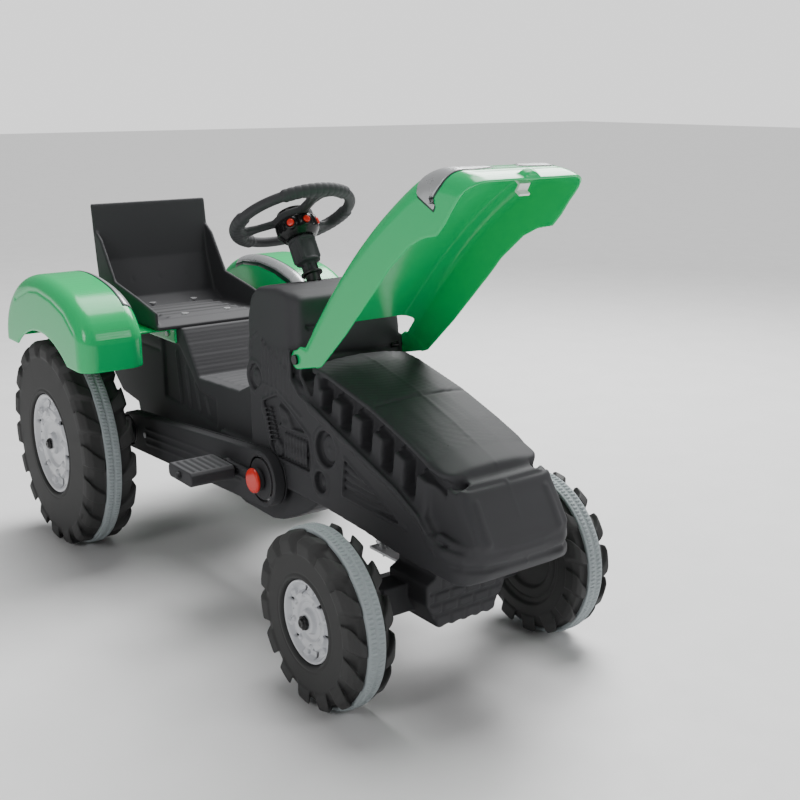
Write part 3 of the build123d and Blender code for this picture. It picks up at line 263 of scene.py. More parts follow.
# ------------------------------------------------------------------ clay and meshes
class Clay:
    """Modelling clay on a regular grid of distances, in millimetres."""

    BAND = 4.0

    def __init__(self, low: Sequence[float], high: Sequence[float], pitch: float) -> None:
        """Start with empty space.

        Args:
            low: Lowest corner that will hold clay.
            high: Highest corner that will hold clay.
            pitch: Size of one grid cell.
        """
        self.pitch = pitch
        self.low = np.array(low, float) - 5 * pitch
        shape = np.ceil((np.array(high, float) + 5 * pitch - self.low) / pitch).astype(int) + 1
        self.field = np.full(shape, self.BAND * pitch, np.float32)

    @classmethod
    def of_node(cls, node: bpy.types.Object, pitch: float) -> "Clay":
        """Clay in the form of a CAD node.

        Args:
            node: The CAD node's object.
            pitch: Size of one grid cell.

        Returns:
            The clay, hollow where the node is.
        """
        mesh = node.data
        places = np.empty(len(mesh.vertices) * 3, np.float32)
        mesh.vertices.foreach_get("co", places)
        places = places.reshape(-1, 3) / MM
        mesh.calc_loop_triangles()
        corners = np.empty(len(mesh.loop_triangles) * 3, np.int32)
        mesh.loop_triangles.foreach_get("vertices", corners)
        clay = cls(places.min(0), places.max(0), pitch)
        grid = openvdb.FloatGrid.createLevelSetFromPolygons(
            points=((places - clay.low) / pitch).astype(np.float32),
            triangles=corners.reshape(-1, 3).astype(np.uint32),
            transform=openvdb.createLinearTransform(1.0),
            halfWidth=cls.BAND,
        )
        grid.copyToArray(clay.field, ijk=(0, 0, 0))
        clay.field *= pitch
        return clay

    def fill_across(self) -> "Clay":
        """Fill hollows, from the first wall met from the right to the last."""
        wall = self.field < 0
        met = np.maximum.accumulate(wall, axis=1)
        left = np.maximum.accumulate(wall[:, ::-1], axis=1)[:, ::-1]
        hollow = met & left & (self.field > -self.pitch)
        deep = np.roll(hollow, 1, 1) & np.roll(hollow, -1, 1)
        self.field[met & left & deep] = -self.BAND * self.pitch
        self.field[hollow & (self.field > 0)] = -self.pitch
        return self

    def _window(self, solid: Solid, grow: float) -> tuple[tuple[slice, ...], list[Array]]:
        """The part of the grid round a solid, and its coordinates."""
        cuts, axes = [], []
        for axis in range(3):
            first = int(math.floor((solid.low[axis] - grow - self.low[axis]) / self.pitch))
            last = int(math.ceil((solid.high[axis] + grow - self.low[axis]) / self.pitch)) + 1
            first, last = max(first, 0), min(last, self.field.shape[axis])
            cuts.append(slice(first, max(last, first)))
            line = (self.low[axis] + np.arange(first, max(last, first)) * self.pitch).astype(np.float32)
            shape = [1, 1, 1]
            shape[axis] = -1
            axes.append(line.reshape(shape))
        return tuple(cuts), axes

    def add(self, *solids: Solid, blend: float = 1.5) -> "Clay":
        """Add solids, with a small fillet where they meet what is there."""
        for solid in solids:
            view, axes = self._window(solid, blend + 3 * self.pitch)
            if 0 in self.field[view].shape:
                continue
            self.field[view] = soft_least(self.field[view], solid.distance(*axes), blend)
        return self

    def cut(self, *solids: Solid, blend: float = 1.0) -> "Clay":
        """Cut solids away, with a small radius at the cut's edge."""
        for solid in solids:
            view, axes = self._window(solid, blend + 3 * self.pitch)
            if 0 in self.field[view].shape:
                continue
            self.field[view] = -soft_least(-self.field[view], solid.distance(*axes), blend)
        return self

    def soften(self, radius: float) -> "Clay":
        """Round every edge by about a radius."""
        np.clip(self.field, -self.BAND * self.pitch, self.BAND * self.pitch, out=self.field)
        reach = max(1, round(2 * radius / self.pitch))
        weights = np.exp(-0.5 * (np.arange(-reach, reach + 1) * self.pitch / radius) ** 2)
        weights = (weights / weights.sum()).astype(np.float32)
        for axis in range(3):
            padding = [(reach, reach) if a == axis else (0, 0) for a in range(3)]
            padded = np.pad(self.field, padding, mode="edge")
            total = np.zeros_like(self.field)
            for step, weight in enumerate(weights):
                cut = [slice(None)] * 3
                cut[axis] = slice(step, step + self.field.shape[axis])
                total += weight * padded[tuple(cut)]
            self.field = total
        return self

    def melt(self, low: Point3, high: Point3, radius: float, fade: float = 12.0) -> "Clay":
        """Round the edges inside a box more strongly, fading out towards the box's faces.

        Args:
            low: Lowest corner of the box.
            high: Highest corner of the box.
            radius: About how far edges are rounded.
            fade: Distance over which it fades in from the box's faces.

        Returns:
            The clay.
        """
        view, axes = self._window(Solid(low, high, np.add), 0.0)
        part = object.__new__(Clay)
        part.pitch, part.low, part.field = self.pitch, self.low, self.field[view].copy()
        part.soften(radius)
        share = np.float32(1.0)
        for axis, start, end in zip(axes, low, high):
            share = share * np.clip(np.minimum(axis - start, end - axis) / fade, 0, 1)
        self.field[view] = self.field[view] * (1 - share) + part.field * share
        return self

    def mesh(self, name: str, keep: float = 0.4) -> bpy.types.Mesh:
        """Turn the clay into a mesh, in metres.

        Args:
            name: The mesh's name.
            keep: Share of the faces kept where the surface is plain.

        Returns:
            A closed mesh with smooth shading.
        """
        limit = 3.0 * self.pitch
        grid = openvdb.FloatGrid(limit)
        grid.copyFromArray(np.clip(self.field, -limit, limit), ijk=(0, 0, 0), tolerance=0.0)
        points, quads = grid.convertToQuads(0.0)
        places = (points * self.pitch + self.low) * MM
        return clean_mesh(name, places, quads[:, ::-1], keep)


@dataclass
class Bench:
    """Clay worked with x = 0 at the front axle.

    Args:
        clay: The clay.
        axle_x: The front axle's place along x in the row frame, in millimetres.
    """

    clay: Clay
    axle_x: float

    def _placed(self, solids: Iterable[Solid]) -> list[Solid]:
        """Solids moved to their places in the row frame."""
        return [solid.shifted((self.axle_x, 0.0, 0.0)) for solid in solids]

    def add(self, *solids: Solid, blend: float = 1.5) -> None:
        """Add solids where they are given."""
        self.clay.add(*self._placed(solids), blend=blend)

    def cut(self, *solids: Solid, blend: float = 1.0) -> None:
        """Cut solids away where they are given."""
        self.clay.cut(*self._placed(solids), blend=blend)

    def add_pair(self, *solids: Solid, blend: float = 1.5) -> None:
        """Add solids given on the left, and their mirror images on the right."""
        self.add(*(solid.both_sides() for solid in solids), blend=blend)

    def cut_pair(self, *solids: Solid, blend: float = 1.0) -> None:
        """Cut solids given on the left, and their mirror images on the right."""
        self.cut(*(solid.both_sides() for solid in solids), blend=blend)

    def melt(self, low: Point3, high: Point3, radius: float) -> None:
        """Round the edges inside a box more strongly."""
        ends = [(corner[0] + self.axle_x, *corner[1:]) for corner in (low, high)]
        self.clay.melt(*ends, radius)


def new_mesh(name: str, places: Array, faces: Array) -> bpy.types.Mesh:
    """A mesh with smooth faces that all have the same number of corners."""
    mesh = bpy.data.meshes.new(name)
    sides = faces.shape[1]
    mesh.vertices.add(len(places))
    mesh.vertices.foreach_set("co", np.asarray(places, np.float32).ravel())
    mesh.loops.add(faces.size)
    mesh.loops.foreach_set("vertex_index", np.asarray(faces, np.int32).ravel())
    mesh.polygons.add(len(faces))
    mesh.polygons.foreach_set("loop_start", np.arange(0, faces.size, sides, dtype=np.int32))
    mesh.update(calc_edges=True)
    mesh.shade_smooth()
    return mesh


def clean_mesh(name: str, places: Array, quads: Array, keep: float) -> bpy.types.Mesh:
    """A mesh facing outwards, thinned where it is plain.

    Args:
        name: The mesh's name.
        places: Points, in metres.
        quads: Four point numbers for each face.
        keep: Share of the faces kept.

    Returns:
        The mesh.
    """
    a, b, c, d = (places[quads[:, i]] for i in range(4))
    volume = (np.einsum("ij,ij->i", a, np.cross(b, c)) + np.einsum("ij,ij->i", a, np.cross(c, d))).sum()
    mesh = new_mesh(name, places, quads if volume > 0 else quads[:, ::-1])
    if keep >= 1:
        return mesh
    thin = bpy.data.objects.new(name, mesh)
    bpy.context.scene.collection.objects.link(thin)
    modifier = thin.modifiers.new("thin", "DECIMATE")
    modifier.ratio = keep
    return applied(thin, name)


def applied(piece: bpy.types.Object, name: str) -> bpy.types.Mesh:
    """The mesh of an object with its modifiers applied. The object is removed."""
    bpy.context.view_layer.update()
    evaluated = piece.evaluated_get(bpy.context.evaluated_depsgraph_get())
    mesh = bpy.data.meshes.new_from_object(evaluated)
    before = piece.data
    bpy.data.objects.remove(piece)
    bpy.data.meshes.remove(before)
    mesh.name = name
    mesh.shade_smooth()
    return mesh


def mirrored(mesh: bpy.types.Mesh, name: str) -> bpy.types.Mesh:
    """A mesh's mirror image across the middle plane, still facing outwards."""
    twin = mesh.copy()
    twin.name = name
    twin.transform(Matrix.Diagonal((1, -1, 1, 1)))
    twin.flip_normals()
    return twin


# ------------------------------------------------------------------ finishes
class Grain(Enum):
    """How the skin of a piece feels."""

    MOULDED = "moulded"
    GLOSSY = "glossy"
    RUBBER = "rubber"
    DRAWN = "drawn"


def link(tree: bpy.types.NodeTree, source: Any, target: Any) -> None:
    """Join one socket to another."""
    tree.links.new(source, target)


def shader_group(name: str, inputs: Sequence[tuple[str, str, Any]],
                 outputs: Sequence[tuple[str, str]]) -> tuple[bpy.types.NodeTree, Any, Any]:
    """An empty shader node group with named sockets.

    Args:
        name: The group's name.
        inputs: Name, socket type and starting value of each input.
        outputs: Name and socket type of each output.

    Returns:
        The group, its input node and its output node.
    """
    tree = bpy.data.node_groups.new(name, "ShaderNodeTree")
    for label, kind, value in inputs:
        socket = tree.interface.new_socket(label, in_out="INPUT", socket_type=kind)
        socket.default_value = value
    for label, kind in outputs:
        tree.interface.new_socket(label, in_out="OUTPUT", socket_type=kind)
    return tree, tree.nodes.new("NodeGroupInput"), tree.nodes.new("NodeGroupOutput")


FLOAT, RGBA = "NodeSocketFloat", "NodeSocketColor"


class Effects:
    """The shared effects, each built once."""

    def __init__(self) -> None:
        """Build every group."""
        self.grain = self._grain()
        self.sheen_and_wear = self._sheen_and_wear()
        self.drift = self._drift()
        self.shade = self._shade()

    @staticmethod
    def _noise(tree: bpy.types.NodeTree, place: Any, scale: Any, detail: float = 4.0) -> Any:
        """A noise texture node at a place, with its scale fixed or fed by a socket."""
        noise = tree.nodes.new("ShaderNodeTexNoise")
        link(tree, place, noise.inputs["Vector"])
        if isinstance(scale, (int, float)):
            noise.inputs["Scale"].default_value = scale
        else:
            link(tree, scale, noise.inputs["Scale"])
        noise.inputs["Detail"].default_value = detail
        return noise

    @staticmethod
    def _range(tree: bpy.types.NodeTree, value: Any, low: float, high: float,
               to_low: Any = 0.0, to_high: Any = 1.0) -> Any:
        """A map-range node's result socket."""
        node = tree.nodes.new("ShaderNodeMapRange")
        link(tree, value, node.inputs["Value"])
        node.inputs["From Min"].default_value = low
        node.inputs["From Max"].default_value = high
        for label, limit in (("To Min", to_low), ("To Max", to_high)):
            if isinstance(limit, (int, float)):
                node.inputs[label].default_value = limit
            else:
                link(tree, limit, node.inputs[label])
        return node.outputs["Result"]

    @staticmethod
    def _math(tree: bpy.types.NodeTree, operation: str, a: Any, b: Any) -> Any:
        """A math node's result socket; each operand is a socket or a number."""
        node = tree.nodes.new("ShaderNodeMath")
        node.operation = operation
        for socket, value in zip(node.inputs, (a, b)):
            if isinstance(value, (int, float)):
                socket.default_value = value
            else:
                link(tree, value, socket)
        return node.outputs["Value"]

    def _grain(self) -> bpy.types.NodeTree:
        """Pebbled mould grain over long soft waves, as a height."""
        tree, inputs, outputs = shader_group(
            "Skin grain", [("Scale", FLOAT, 900.0), ("Stretch", FLOAT, 1.0), ("Waves", FLOAT, 0.3)],
            [("Height", FLOAT)])
        place = tree.nodes.new("ShaderNodeTexCoord").outputs["Object"]
        stretch = tree.nodes.new("ShaderNodeCombineXYZ")
        stretch.inputs["X"].default_value = 1.0
        stretch.inputs["Z"].default_value = 1.0
        link(tree, inputs.outputs["Stretch"], stretch.inputs["Y"])
        scaled = tree.nodes.new("ShaderNodeVectorMath")
        scaled.operation = "MULTIPLY"
        link(tree, place, scaled.inputs[0])
        link(tree, stretch.outputs["Vector"], scaled.inputs[1])
        fine = self._noise(tree, scaled.outputs["Vector"], inputs.outputs["Scale"], 3.0)
        cells = tree.nodes.new("ShaderNodeTexVoronoi")
        link(tree, scaled.outputs["Vector"], cells.inputs["Vector"])
        link(tree, inputs.outputs["Scale"], cells.inputs["Scale"])
        wave = self._noise(tree, place, 28.0, 1.0)
        pebble = self._math(tree, "MULTIPLY", cells.outputs["Distance"], 0.5)
        skin = self._math(tree, "ADD", fine.outputs["Fac"], pebble)
        slow = self._math(tree, "MULTIPLY", wave.outputs["Fac"], inputs.outputs["Waves"])
        link(tree, self._math(tree, "ADD", skin, slow), outputs.inputs["Height"])
        return tree

    def _sheen_and_wear(self) -> bpy.types.NodeTree:
        """Painted highlights along sharp edges, real fine scuffs and settled dust over a base colour."""
        tree, inputs, outputs = shader_group(
            "Edge sheen, scuffs and dust",
            [("Base", RGBA, (0.1, 0.1, 0.1, 1)), ("Sheen and scuff colour", RGBA, (0.3, 0.3, 0.3, 1)),
             ("Dust", RGBA, (0.3, 0.28, 0.25, 1)), ("Edge sheen", FLOAT, 0.4), ("Scuffs", FLOAT, 0.2),
             ("Dust amount", FLOAT, 0.1)],
            [("Colour", RGBA), ("Mask", FLOAT)])
        place = tree.nodes.new("ShaderNodeTexCoord").outputs["Object"]
        geometry = tree.nodes.new("ShaderNodeNewGeometry")
        # Painted highlight: sharp edges, found by pointiness and broken into patches, are lightened towards
        # the lighter colour as if catching light.
        edge = self._range(tree, geometry.outputs["Pointiness"], 0.52, 0.60)
        patch = self._range(tree, self._noise(tree, place, 45.0).outputs["Fac"], 0.35, 0.65)
        sheen_and_scuff = self._math(tree, "MULTIPLY", edge, patch)
        sheen_and_scuff = self._math(tree, "MULTIPLY", sheen_and_scuff, inputs.outputs["Edge sheen"])
        marks = []
        for turn, spread in ((0.5, (9.0, 9.0, 260.0)), (2.1, (240.0, 12.0, 14.0))):
            mapping = tree.nodes.new("ShaderNodeMapping")
            mapping.inputs["Rotation"].default_value = (turn, turn * 0.4, turn * 0.7)
            mapping.inputs["Scale"].default_value = spread
            link(tree, place, mapping.inputs["Vector"])
            streak = self._noise(tree, mapping.outputs["Vector"], 1.0, 2.0)
            marks.append(self._range(tree, streak.outputs["Fac"], 0.66, 0.74))
        scuffs = self._math(tree, "MULTIPLY", self._math(tree, "MAXIMUM", *marks), inputs.outputs["Scuffs"])
        scuffs = self._math(tree, "MULTIPLY", scuffs, patch)
        mask = self._math(tree, "MAXIMUM", sheen_and_scuff, scuffs)
        # Mixes the base towards the lighter colour: a painted highlight along the edges, and the real scuffs.
        with_sheen_and_scuffs = tree.nodes.new("ShaderNodeMix")
        with_sheen_and_scuffs.data_type = "RGBA"
        link(tree, mask, with_sheen_and_scuffs.inputs["Factor"])
        link(tree, inputs.outputs["Base"], with_sheen_and_scuffs.inputs["A"])
        link(tree, inputs.outputs["Sheen and scuff colour"], with_sheen_and_scuffs.inputs["B"])
        facing = tree.nodes.new("ShaderNodeSeparateXYZ")
        link(tree, geometry.outputs["Normal"], facing.inputs["Vector"])
        level = self._range(tree, facing.outputs["Z"], 0.2, 1.0)
        cloud = self._range(tree, self._noise(tree, place, 14.0, 6.0).outputs["Fac"], 0.4, 0.7)
        settled = self._math(tree, "MULTIPLY", level, cloud)
        settled = self._math(tree, "MULTIPLY", settled, inputs.outputs["Dust amount"])
        dusty = tree.nodes.new("ShaderNodeMix")
        dusty.data_type = "RGBA"
        link(tree, settled, dusty.inputs["Factor"])
        link(tree, with_sheen_and_scuffs.outputs["Result"], dusty.inputs["A"])
        link(tree, inputs.outputs["Dust"], dusty.inputs["B"])
        link(tree, dusty.outputs["Result"], outputs.inputs["Colour"])
        link(tree, self._math(tree, "MAXIMUM", mask, settled), outputs.inputs["Mask"])
        return tree

    def _drift(self) -> bpy.types.NodeTree:
        """Roughness that drifts over the surface and rises under the mask of painted edge highlights, scuffs
        and dust.
        """
        tree, inputs, outputs = shader_group(
            "Roughness drift", [("Smooth", FLOAT, 0.3), ("Rough", FLOAT, 0.5), ("Mask", FLOAT, 0.0)],
            [("Roughness", FLOAT)])
        place = tree.nodes.new("ShaderNodeTexCoord").outputs["Object"]
        noise = self._noise(tree, place, 22.0, 6.0)
        value = self._range(tree, noise.outputs["Fac"], 0.3, 0.7, inputs.outputs["Smooth"],
                            inputs.outputs["Rough"])
        rise = self._math(tree, "MULTIPLY", inputs.outputs["Mask"], 0.25)
        link(tree, self._math(tree, "ADD", value, rise), outputs.inputs["Roughness"])
        return tree

    def _shade(self) -> bpy.types.NodeTree:
        """A slow drift between two near shades of one colour."""
        tree, inputs, outputs = shader_group(
            "Colour drift",
            [("Dark", RGBA, (0, 0, 0, 1)), ("Light", RGBA, (1, 1, 1, 1)), ("Scale", FLOAT, 9.0)],
            [("Colour", RGBA)])
        place = tree.nodes.new("ShaderNodeTexCoord").outputs["Object"]
        noise = self._noise(tree, place, inputs.outputs["Scale"], 5.0)
        share = self._range(tree, noise.outputs["Fac"], 0.3, 0.7)
        mix = tree.nodes.new("ShaderNodeMix")
        mix.data_type = "RGBA"
        link(tree, share, mix.inputs["Factor"])
        link(tree, inputs.outputs["Dark"], mix.inputs["A"])
        link(tree, inputs.outputs["Light"], mix.inputs["B"])
        link(tree, mix.outputs["Result"], outputs.inputs["Colour"])
        return tree


@dataclass(frozen=True)
class Finish:
    """One finish of the tractor.

    Args:
        name: The material's name.
        slot: The record's material slot; not used.
        colour: Base colour.
        grain: How its skin feels.
        smooth: Least roughness.
        rough: Greatest roughness.
        sheen_and_scuff: Colour of the painted edge highlight, also used for the fine scuffs.
        sheen_and_wear: Share of the painted edge highlight, which also roughens the edges.
        scuffs: Share of fine scuffs.
        dust: Share of dust on top.
        metallic: Metallic value.
        coat: Coat weight.
        drift: How far the colour drifts.
        shine: Specular level.
    """

    name: str
    slot: str
    colour: Colour
    grain: Grain = Grain.MOULDED
    smooth: float = 0.35
    rough: float = 0.5
    sheen_and_scuff: Colour = (0.25, 0.25, 0.25)
    sheen_and_wear: float = 0.3
    scuffs: float = 0.15
    dust: float = 0.05
    metallic: float = 0.0
    coat: float = 0.0
    drift: float = 0.18
    shine: float = 0.5

    GRAIN_SIZES = {
        Grain.MOULDED: (1100.0, 1.0, 0.9, 0.35),
        Grain.GLOSSY: (1500.0, 1.0, 1.6, 0.12),
        Grain.RUBBER: (800.0, 1.0, 0.3, 0.45),
        Grain.DRAWN: (900.0, 0.08, 0.2, 0.15),
    }

    def material(self, effects: Effects) -> bpy.types.Material:
        """The material, made the first time it is asked for.

        Args:
            effects: The shared node groups.

        Returns:
            The material.
        """
        found = bpy.data.materials.get(self.name)
        if found:
            return found
        material = bpy.data.materials.new(self.name)
        material.use_nodes = True
        tree = material.node_tree
        shader = tree.nodes["Principled BSDF"]
        scale, stretch, waves, strength = self.GRAIN_SIZES[self.grain]
        shade = self._group(tree, effects.shade)
        shade.inputs["Dark"].default_value = (*[c * (1 - self.drift) for c in self.colour], 1)
        shade.inputs["Light"].default_value = (*[min(1, c * (1 + self.drift)) for c in self.colour], 1)
        sheen_and_wear = self._group(tree, effects.sheen_and_wear)
        link(tree, shade.outputs["Colour"], sheen_and_wear.inputs["Base"])
        # Painted highlight: the lighter colour laid along sharp edges, which also marks the real scuffs.
        sheen_and_wear.inputs["Sheen and scuff colour"].default_value = (*self.sheen_and_scuff, 1)
        sheen_and_wear.inputs["Edge sheen"].default_value = self.sheen_and_wear
        sheen_and_wear.inputs["Scuffs"].default_value = self.scuffs
        sheen_and_wear.inputs["Dust amount"].default_value = self.dust
        link(tree, sheen_and_wear.outputs["Colour"], shader.inputs["Base Color"])
        drift = self._group(tree, effects.drift)
        drift.inputs["Smooth"].default_value = self.smooth
        drift.inputs["Rough"].default_value = self.rough
        link(tree, sheen_and_wear.outputs["Mask"], drift.inputs["Mask"])
        link(tree, drift.outputs["Roughness"], shader.inputs["Roughness"])
        grain = self._group(tree, effects.grain)
        grain.inputs["Scale"].default_value = scale
        grain.inputs["Stretch"].default_value = stretch
        grain.inputs["Waves"].default_value = waves
        bump = tree.nodes.new("ShaderNodeBump")
        bump.inputs["Strength"].default_value = strength
        bump.inputs["Distance"].default_value = 0.0004
        link(tree, grain.outputs["Height"], bump.inputs["Height"])
        link(tree, bump.outputs["Normal"], shader.inputs["Normal"])
        shader.inputs["Metallic"].default_value = self.metallic
        shader.inputs["Coat Weight"].default_value = self.coat
        shader.inputs["Specular IOR Level"].default_value = self.shine
        shader.inputs["Coat Roughness"].default_value = 0.12
        return material

    @staticmethod
    def _group(tree: bpy.types.NodeTree, group: bpy.types.NodeTree) -> Any:
        """A node that places a group in a material."""
        node = tree.nodes.new("ShaderNodeGroup")
        node.node_tree = group
        return node


# Each finish's lighter edge colour and its edge share paint a highlight along sharp edges; the same colour
# marks the real scuffs.
BLACK = Finish("black_moulding", "black_moulding", (0.0030, 0.0030, 0.0033), smooth=0.20, rough=0.32,
               sheen_and_scuff=(0.07, 0.07, 0.07), sheen_and_wear=0.6, scuffs=0.05, dust=0.004, shine=0.30)
GLOSS_BLACK = Finish("black_gloss", "black_moulding", (0.0050, 0.0050, 0.0055), Grain.GLOSSY, 0.16, 0.28,
                     sheen_and_scuff=(0.08, 0.08, 0.08), sheen_and_wear=0.2, scuffs=0.06, dust=0.006, shine=0.34)
TYRE = Finish("tyre_black", "tyre_black", (0.0075, 0.0075, 0.0080), Grain.RUBBER, 0.30, 0.46,
              sheen_and_scuff=(0.07, 0.07, 0.07), sheen_and_wear=0.50, scuffs=0.08, dust=0.015, shine=0.24)
GREY_RUBBER = Finish("grey_rubber", "grey_rubber", (0.085, 0.135, 0.145), Grain.RUBBER, 0.45, 0.62,
                     sheen_and_scuff=(0.30, 0.38, 0.39), sheen_and_wear=0.8, scuffs=0.2, dust=0.05, shine=0.25)
SILVER = Finish("silver_plastic", "silver_plastic", (0.25, 0.262, 0.285), smooth=0.26, rough=0.38,
                sheen_and_scuff=(0.50, 0.52, 0.55), sheen_and_wear=0.6, scuffs=0.05, dust=0.02, metallic=0.5, drift=0.06)
GREEN = Finish("green_plastic", "green_plastic", (0.0, 0.230, 0.004), Grain.GLOSSY, 0.26, 0.38,
               sheen_and_scuff=(0.02, 0.45, 0.08), sheen_and_wear=0.25, scuffs=0.03, dust=0.0, drift=0.05, shine=0.09)
RED = Finish("red_plastic", "red_plastic", (0.40, 0.004, 0.002), Grain.GLOSSY, 0.2, 0.3,
             sheen_and_scuff=(0.7, 0.08, 0.06), sheen_and_wear=0.2, scuffs=0.05, drift=0.06, shine=0.3)
WHITE = Finish("white_plastic", "white_plastic", (0.72, 0.73, 0.74), smooth=0.3, rough=0.45,
               sheen_and_scuff=(0.85, 0.85, 0.85), sheen_and_wear=0.2, scuffs=0.05, drift=0.04)
FOIL = Finish("silver_foil", "white_plastic", (0.46, 0.47, 0.48), Grain.DRAWN, 0.22, 0.36,
              sheen_and_scuff=(0.8, 0.8, 0.82), sheen_and_wear=0.1, scuffs=0.25, metallic=0.35, coat=0.3, drift=0.10)
DARK_FOIL = Finish("dark_green_foil", "green_plastic", (0.001, 0.035, 0.020), Grain.GLOSSY, 0.25, 0.4,
                   sheen_and_scuff=(0.05, 0.2, 0.12), sheen_and_wear=0.1, scuffs=0.1)
STEEL = Finish("steel", "steel", (0.52, 0.52, 0.53), Grain.DRAWN, 0.25, 0.42, sheen_and_scuff=(0.75, 0.75, 0.76),
               sheen_and_wear=0.3, scuffs=0.2, metallic=0.95, drift=0.10)
DARK_NYLON = Finish("dark_nylon", "nylon", (0.008, 0.008, 0.008), smooth=0.35, rough=0.5,
                    sheen_and_scuff=(0.1, 0.1, 0.1), sheen_and_wear=0.2, scuffs=0.1, drift=0.05)
NYLON = Finish("nylon", "nylon", (0.50, 0.49, 0.45), smooth=0.4, rough=0.55, sheen_and_scuff=(0.65, 0.64, 0.6),
               sheen_and_wear=0.2, scuffs=0.1, drift=0.05)


# ------------------------------------------------------------------ the workshop
class Workshop:
    """Holds the frame and the shared effects, and finishes pieces."""

    def __init__(self, frame: dict[str, Any]) -> None:
        """Keep the frame and build the effects.
        """
        self.nodes: dict[str, bpy.types.Object] = frame["nodes"]
        self.body_of: dict[str, str] = {name: node["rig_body"] for name, node in self.nodes.items()}
        self.joints: dict[str, dict[str, Any]] = {joint["name"]: joint for joint in frame["joints"]}
        self.effects = Effects()
        low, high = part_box("kingpins")
        self.axle_x = (low.x + high.x) / 2 / MM
        self.made = 0

    def piece(self, name: str, mesh: bpy.types.Mesh, finish: Finish, body: str,
              stands_for: Iterable[str] = ()) -> bpy.types.Object:
        """Make a finished piece.

        Args:
            name: The piece's name.
            mesh: Its mesh, in the row frame, in metres.
            finish: Its finish.
            body: The CAD body it moves with.
            stands_for: CAD nodes it replaces.

        Returns:
            The piece.
        """
        made = bpy.data.objects.new(name, mesh)
        bpy.context.scene.collection.objects.link(made)
        mesh.materials.clear()
        mesh.materials.append(finish.material(self.effects))
        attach(made, body)
        if stands_for:
            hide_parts(*stands_for)
        self.made += 1
        log.info("%s: %d faces, on %s", name, len(mesh.polygons), body)
        return made

    def softened(self, node: str, finish: Finish, pitch: float, radius: float, keep: float = 0.4,
                 work: Callable[[Bench], None] | None = None) -> bpy.types.Object:
        """A CAD node's form with moulded, rounded edges and any extra work, standing for the node.

        Args:
            node: The CAD node.
            finish: Its finish.
            pitch: Grid pitch.
            radius: How far its edges are rounded.
            keep: Share of the faces kept.
            work: Adds to or cuts the clay on the bench before it is softened.

        Returns:
            The piece.
        """
        clay = Clay.of_node(self.nodes[node], pitch)
        if work:
            work(Bench(clay, self.axle_x))
        mesh = clay.soften(radius).mesh(node + "_form", keep)
        return self.piece(node + "_form", mesh, finish, self.body_of[node], [node])

    def keep_node(self, node: str, finish: Finish, bevel: float = 0.5) -> None:
        """Show a CAD node as it is, with a finish and broken edges.

        Args:
            node: The CAD node.
            finish: Its finish.
            bevel: Width of its broken edges.
        """
        shown = self.nodes[node]
        shown.data.materials.clear()
        shown.data.materials.append(finish.material(self.effects))
        weld = shown.modifiers.new("weld", "WELD")
        weld.merge_threshold = 1e-5
        broken = shown.modifiers.new("broken_edges", "BEVEL")
        broken.width = bevel * MM
        broken.segments = 2
        broken.limit_method = "ANGLE"
        broken.angle_limit = math.radians(35)
        broken.harden_normals = True
        log.info("%s: CAD node kept", node)


# ------------------------------------------------------------------ body
def on_line(line: Sequence[Point2], x: float) -> float:
    """Height of a side-view line, running forward, at a place along x."""
    return float(np.interp(x, [p[0] for p in line], [p[1] for p in line]))


@dataclass(frozen=True)
class Port:
    """A round port of the engine relief.

    Args:
        centre: Its centre in the side view.
        radius: Its radius.
        depth: How far its disc is sunk.
    """

    centre: Point2
    radius: float
    depth: float


PORTS = (Port((-134, 292), 25, 9), Port((-150, 240), 15, 8), Port((-325, 357), 19, 4))


